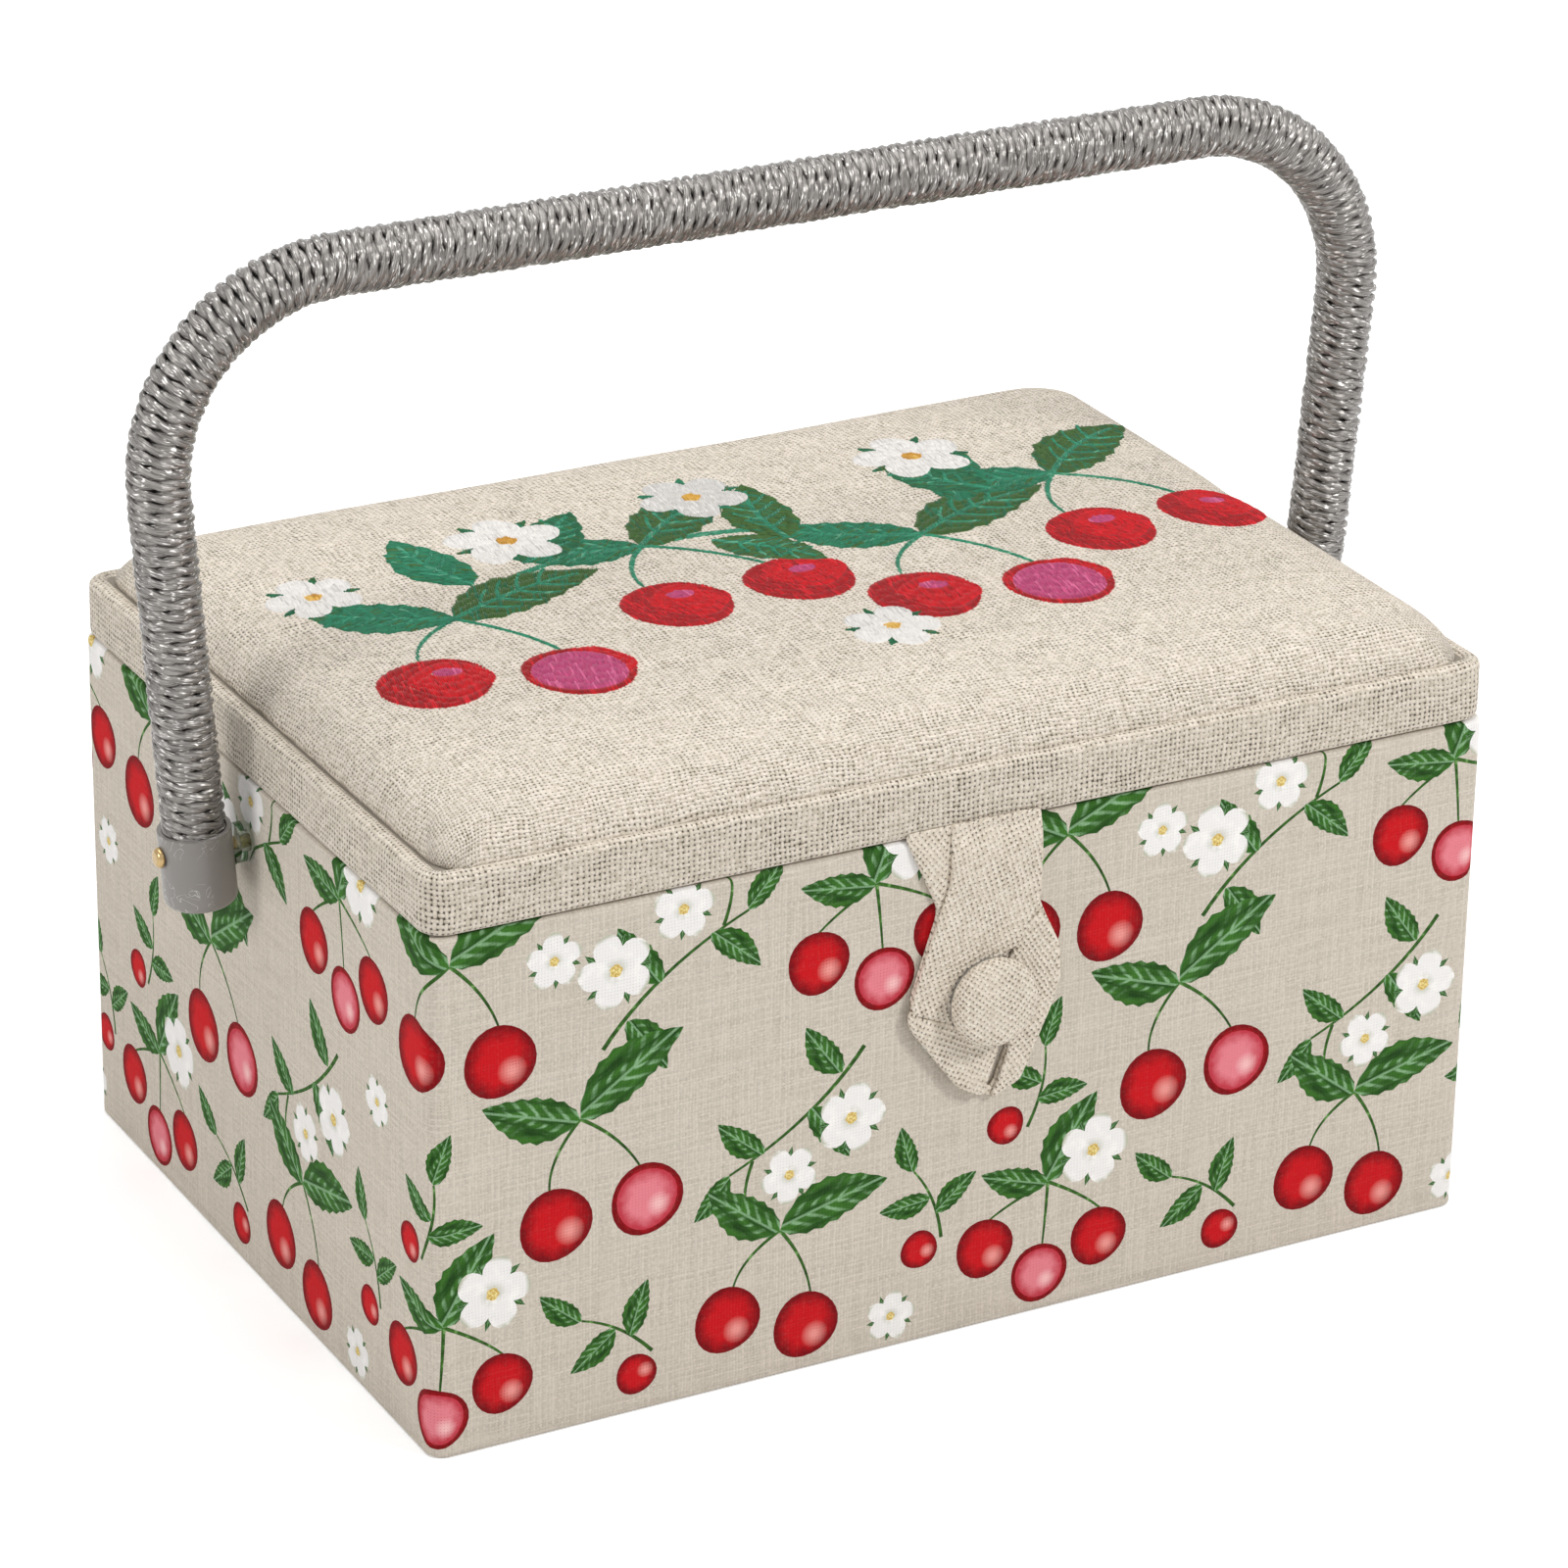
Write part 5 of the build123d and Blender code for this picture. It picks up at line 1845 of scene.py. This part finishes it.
@dataclass(frozen=True)
class Fittings:
    """The soft fittings inside: gathered pocket, elastic, pin cushion, cloth hinge and ribbon stays.

    Attributes:
        ceiling: height of the lid lining's underside.
        pocket: the pocket's left, front, right and back edges.
        cushion: the pin cushion's width, depth and middle from front to back.
        hinge: the hinge line's place from front to back, and its height.
        opened: how far the lid opens, in degrees.
        fold_pitch: distance between the pocket's folds.
        ruche_pitch: distance between the elastic's ruches.
        CUSHION_LEVELS: insets and depths of the pin cushion's rings, from the lining down.
    """

    CUSHION_LEVELS = ((0.8, 0.0), (0.25, 0.7), (0.0, 2.2), (0.1, 3.6), (0.5, 5.2), (1.3, 7.0), (2.6, 8.8),
                      (4.4, 10.2), (6.6, 11.1), (9.5, 11.8), (13.0, 12.2), (17.0, 12.4), (20.5, 12.5),
                      (23.3, 12.5))

    ceiling: float = 130.5
    pocket: tuple[float, float, float, float] = (-95.0, -6.1, 95.0, 71.9)
    cushion: tuple[float, float, float] = (112.0, 48.0, -48.5)
    hinge: Point = (92.8, 122.15)
    opened: float = 95.0
    fold_pitch: float = 6.2
    ruche_pitch: float = 2.4

    def gathered_pocket(self) -> Piece:
        """Gather the pocket along its elastic, so it hangs in small uneven folds.

        Returns:
            The pocket.
        """
        left, front, right, back = self.pocket
        grid = []
        for j in range(27):
            share = j / 26
            y = front + (back - front) * share
            fold_depth = 0.25 + 1.7 * (1 - share) ** 1.4
            puff = 2.6 * sin(pi * min(share * 1.06, 1.0)) ** 0.8
            points = []
            for i in range(401):
                across = i / 400
                x = left + (right - left) * across
                edge = min(across, 1 - across, 0.03) / 0.03
                stray = 1.1 * sin(x / 7.3) + 2.0 * share * sin(x / 11.0)
                fold = 0.5 + 0.5 * sin(2 * pi * (x + stray) / self.fold_pitch)
                drop = 0.25 + edge * (fold * fold_depth + puff) + (0.0 if share < 1 else -0.1)
                points.append(Vector((x, y, self.ceiling - drop)))
            walked = accumulate(((b - a).length for a, b in zip(points, points[1:])), initial=0.0)
            grid.append([(point, (along, y - front)) for point, along in zip(points, walked)])
        mesh = woven_grid("gathered_pocket", grid, weld=False)
        mesh.flip_normals()
        piece = finish_piece(mesh, POCKET_CLOTH, "lid")
        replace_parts(piece, "lid_pocket")
        return piece

    def elastic(self) -> Piece:
        """Build the ruched elastic along the pocket's open edge.

        Returns:
            The elastic.
        """
        left, front, right, _ = self.pocket
        turns = [2 * pi * k / 12 for k in range(13)]
        grid = []
        for i in range(381):
            x = left + (right - left) * i / 380
            ruche = 0.5 + 0.5 * sin(2 * pi * (x + 0.3 * sin(x / 3.1)) / self.ruche_pitch)
            reach = 0.88 + 0.12 * ruche
            grid.append([(Vector((x, front - 2.0 + 2.0 * reach * cos(turn),
                                  self.ceiling - 1.1 + 1.1 * reach * sin(turn))), (k * 0.8, i * 0.6))
                         for k, turn in enumerate(turns)])
        mesh = woven_grid("ruched_elastic", grid)
        piece = finish_piece(mesh, ELASTIC, "lid")
        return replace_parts(piece, "pocket_elastic")

    def pin_cushion(self) -> Piece:
        """Stuff the pin cushion that hangs under the lid's lining.

        Returns:
            The pin cushion.
        """
        width, depth, middle = self.cushion
        stops = RoundedPath(width, depth, 13.0).stations(4.0, 10)
        deepest = self.CUSHION_LEVELS[-1][1]
        grid = []
        for inset, drop in self.CUSHION_LEVELS:
            corner = max(min(13 + 0.15 * inset, 0.48 * (depth - 2 * inset)), 0.3)
            ring = RoundedPath(width - 2 * inset, depth - 2 * inset, corner)
            spread = (deepest - drop) * 0.9
            row = []
            for stop in stops:
                place, normal = ring.at(*stop)
                crease = 0.35 * sin(place.x / 2.1 + place.y / 1.7) * max(0.0, 1 - drop / 5)
                row.append((Vector((place.x + normal.x * crease, place.y + middle + normal.y * crease,
                                    self.ceiling - drop)),
                            (place.x + normal.x * spread, place.y + normal.y * spread)))
            grid.append(row)
        mesh = woven_grid("stuffed_pin_cushion", grid)
        close_holes(mesh, high=self.ceiling - 6)
        mesh.flip_normals()
        piece = finish_piece(mesh, LINEN, "lid")
        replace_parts(piece, "pin_cushion")
        return piece

    def strip(self, name: str, line: Sequence[Point], left: float, right: float, thickness: float,
              steps: int) -> Mesh:
        """Build a thin closed strip of cloth whose side view follows a line.

        Args:
            name: the mesh's name.
            line: places from front to back and heights.
            left, right: the strip's two edges.
            thickness: the cloth's thickness.
            steps: steps across the strip.

        Returns:
            The strip's mesh.
        """
        offsets = []
        for k in range(len(line)):
            before, after = line[max(k - 1, 0)], line[min(k + 1, len(line) - 1)]
            run = Vector((after[0] - before[0], after[1] - before[1])).normalized()
            offsets.append((run.y * thickness / 2, -run.x * thickness / 2))
        outer = [(p[0] + o[0], p[1] + o[1]) for p, o in zip(line, offsets)]
        inner = [(p[0] - o[0], p[1] - o[1]) for p, o in zip(line, offsets)]
        profile = [*outer, *inner[::-1], outer[0]]
        lengths = travelled(profile)
        places = [left + (right - left) * i / steps for i in range(steps + 1)]
        mesh = woven_grid(name, [[(Vector((x, y, z)), (x, along)) for (y, z),
                                  along in zip(profile, lengths)] for x in places])
        close_holes(mesh)
        return mesh

    def cloth_hinge(self) -> Piece:
        """Lay the linen hinge down the back, ready to bend with the lid.

        Returns:
            The hinge.
        """
        y, z = self.hinge
        heights = [-11, -9, -7, -5, -4, -3, *[k * 0.5 - 2.5 for k in range(11)], 3, 4, 5, 7, 9, 11]
        mesh = self.strip("linen_hinge", [(y, z + h) for h in heights], -120, 120, 0.55, 60)
        piece = finish_piece(mesh, LINEN, None)
        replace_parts(piece, "hinge_cloth")
        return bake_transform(piece)

    def ribbon_line(self) -> list[Point]:
        """Work out the fold that a ribbon needs at rest to be straight when the lid is open.

        Returns:
            Its side view, as places from front to back and heights.
        """
        ends = (Vector((-60.0, -5.0)), Vector((8.2, 59.5)))
        line = []
        for k in range(61):
            taut = ends[0].lerp(ends[1], k / 60)
            low, high = 0.0, 1.0
            for _ in range(40):
                middle = (low + high) / 2
                turn = radians(self.opened) * middle * middle * (3 - 2 * middle)
                if taut.x * sin(turn) + taut.y * cos(turn) > 8 * middle - 5:
                    low = middle
                else:
                    high = middle
            turn = radians(self.opened) * low * low * (3 - 2 * low)
            line.append((self.hinge[0] + taut.x * cos(turn) - taut.y * sin(turn),
                         self.hinge[1] + taut.x * sin(turn) + taut.y * cos(turn)))
        return line

    def stays(self) -> list[Piece]:
        """Fold a ribbon stay at each side, ready to draw straight as the lid opens.

        Returns:
            The left and the right stay.
        """
        line = self.ribbon_line()
        length = sum(dist(a, b) for a, b in zip(line, line[1:]))
        pieces = []
        for side, name in ((-1, "left"), (1, "right")):
            edges = sorted((side * 123.1, side * 113.1))
            mesh = self.strip(f"ribbon_stay_{name}", line, edges[0], edges[1], 0.45, 4)
            piece = finish_piece(mesh, RIBBON, None)
            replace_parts(piece, f"lid_stay_{name}")
            line_y, line_z = self.hinge
            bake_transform(piece)
            pieces.append(piece)
        return pieces

    def build(self) -> list[Piece]:
        """Return every soft fitting, newly built."""
        return [self.gathered_pocket(), self.elastic(), self.pin_cushion(), self.cloth_hinge(),
                *self.stays()]


@dataclass(frozen=True)
class Studio:
    """The plain white ground, its soft lights and the camera.

    Attributes:
        key, fill, sky: strength of the lights in watts.
        ambient: the light from all round.
        glow: how much the floor shines by itself where the picture shows it.
    """

    key: float = 17.2
    fill: float = 8.9
    sky: float = 22.0
    ambient: float = 0.41
    glow: float = 0.34

    def floor(self) -> None:
        """Lay a wide pale floor that looks white to the camera and keeps a faint shadow."""
        bpy.ops.mesh.primitive_plane_add(size=12.0, location=(0, 0, 0))
        ground = bpy.context.object
        ground.name = "studio_floor"
        paint = bpy.data.materials.new("studio_floor")
        paint.use_nodes = True
        tree = paint.node_tree
        shader = tree.nodes["Principled BSDF"]
        for name, value in {
            "Base Color": linear("#efefef"), "Roughness": 0.95, "Specular IOR Level": 0.1,
            "Emission Color": linear("#ffffff"),
            "Emission Strength": add(tree, "Math.MULTIPLY", self.seen(tree), self.glow),
        }.items():
            join(tree, shader.inputs[name], value)
        ground.data.materials.append(paint)

    def seen(self, tree: Tree) -> Socket:
        """Tell the rays that the picture shows from those that only light the box.

        Args:
            tree: the node tree that gets the nodes.

        Returns:
            1 for rays from the camera, mirrored or passing through clear pieces, or else 0.
        """
        rays = add(tree, "LightPath").node.outputs
        first = add(tree, "Math.MAXIMUM", rays["Is Camera Ray"], rays["Is Glossy Ray"])
        return add(tree, "Math.MAXIMUM", first, rays["Is Transmission Ray"])

    def backdrop(self) -> None:
        """Make the far background white, and the light from all round dimmer."""
        world = bpy.data.worlds.new("studio_white")
        bpy.context.scene.world = world
        world.use_nodes = True
        tree = world.node_tree
        background = tree.nodes["Background"]
        background.inputs["Color"].default_value = linear("#ffffff")
        strength = add(tree, "MapRange", self.seen(tree), 0.0, 1.0, self.ambient, 1.0)
        join(tree, background.inputs["Strength"], strength)

    def light(self, name: str, place: Sequence[float], size: float, power: float) -> None:
        """Add one square light that faces the middle of the box.

        Args:
            name: its name.
            place: where it stands, in metres.
            size: the length of its side in metres.
            power: its strength in watts.
        """
        lamp = bpy.data.lights.new(name, "AREA")
        lamp.shape = "SQUARE"
        lamp.size, lamp.energy = size, power
        holder = bpy.data.objects.new(name, lamp)
        holder.location = place
        aim = Vector((0, 0, 0.1)) - Vector(place)
        holder.rotation_euler = aim.to_track_quat("-Z", "Y").to_euler()
        bpy.context.scene.collection.objects.link(holder)

    def camera(self) -> None:
        """Set the camera where the photo was taken from."""
        lens = bpy.data.cameras.new("photo_camera")
        lens.lens, lens.sensor_width, lens.clip_end = 141.8, 36.0, 50.0
        eye = bpy.data.objects.new("photo_camera", lens)
        right, up = Vector((0.88160, -0.47178, 0.01423)), Vector((0.18144, 0.36657, 0.91253))
        ahead = Vector((0.43573, 0.80190, -0.40877))
        turn = Matrix((right, up, -ahead)).transposed().to_4x4()
        eye.matrix_world = Matrix.Translation((-0.6093, -1.1259, 0.66825)) @ turn
        bpy.context.scene.collection.objects.link(eye)
        bpy.context.scene.camera = eye

    def build(self) -> None:
        """Set up the whole studio."""
        self.floor()
        self.backdrop()
        self.light("key_light", (0.9, -1.3, 1.3), 0.45, self.key)
        self.light("fill_light", (-1.7, -0.3, 0.9), 0.5, self.fill)
        self.light("sky_light", (0.0, 0.2, 1.9), 1.6, self.sky)
        self.camera()
        bpy.context.scene.view_settings.view_transform = "Standard"


# Which finish each CAD node that still shows gets.
NODE_FINISHES = {
    BASE_CLOTH: ["base_cover"],
    BOARD: ["base_board", "front_board", "back_board", "left_board", "right_board", "lid_frame_front",
            "lid_frame_back", "lid_frame_left", "lid_frame_right", "lid_board"],
    LINING: ["floor_lining", "wall_lining", "left_ledge", "right_ledge", "lid_lining"],
    CAP_PLASTIC: ["left_cap", "right_cap"],
    CORE_PLASTIC: ["handle_core", "button_washer"],
    BRASS: ["handle_pin_left", "handle_pin_right", "left_pin_washer", "right_pin_washer"],
    CLEAR_PLASTIC: ["left_spacer", "right_spacer"],
    SHELL_METAL: ["button_shell", "button_back"],
    BUTTON_THREAD: ["button_post"],
    TRAY_PLASTIC: ["tray"],
}


def dress_nodes() -> list[Piece]:
    """Give every CAD node that shows its finish.

    Returns:
        The nodes.
    """
    pieces = []
    for finish, names in NODE_FINISHES.items():
        for name in names:
            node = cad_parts[name]
            node.data.materials.clear()
            node.data.materials.append(finish.material())
            pieces.append(node)
    return pieces


def main() -> None:
    """Build the box's looks and the studio round it."""
    logging.basicConfig(level=logging.INFO, format="%(name)s: %(message)s")
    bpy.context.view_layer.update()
    pieces = [*dress_nodes(), PrintedWalls().build()]
    band, pad, wadding = PaddedLid().build()
    pieces += [band, pad, wadding, *Stitching().build(pad), *Fittings().build(), *WoundHandle().build(),
               *LoopClosure().build()]
    Studio().build()
    for piece in pieces:
        LOG.info("%s: %d faces of %s", piece.name, len(piece.data.polygons), piece.data.materials[0].name)


if __name__ == "__main__":
    main()
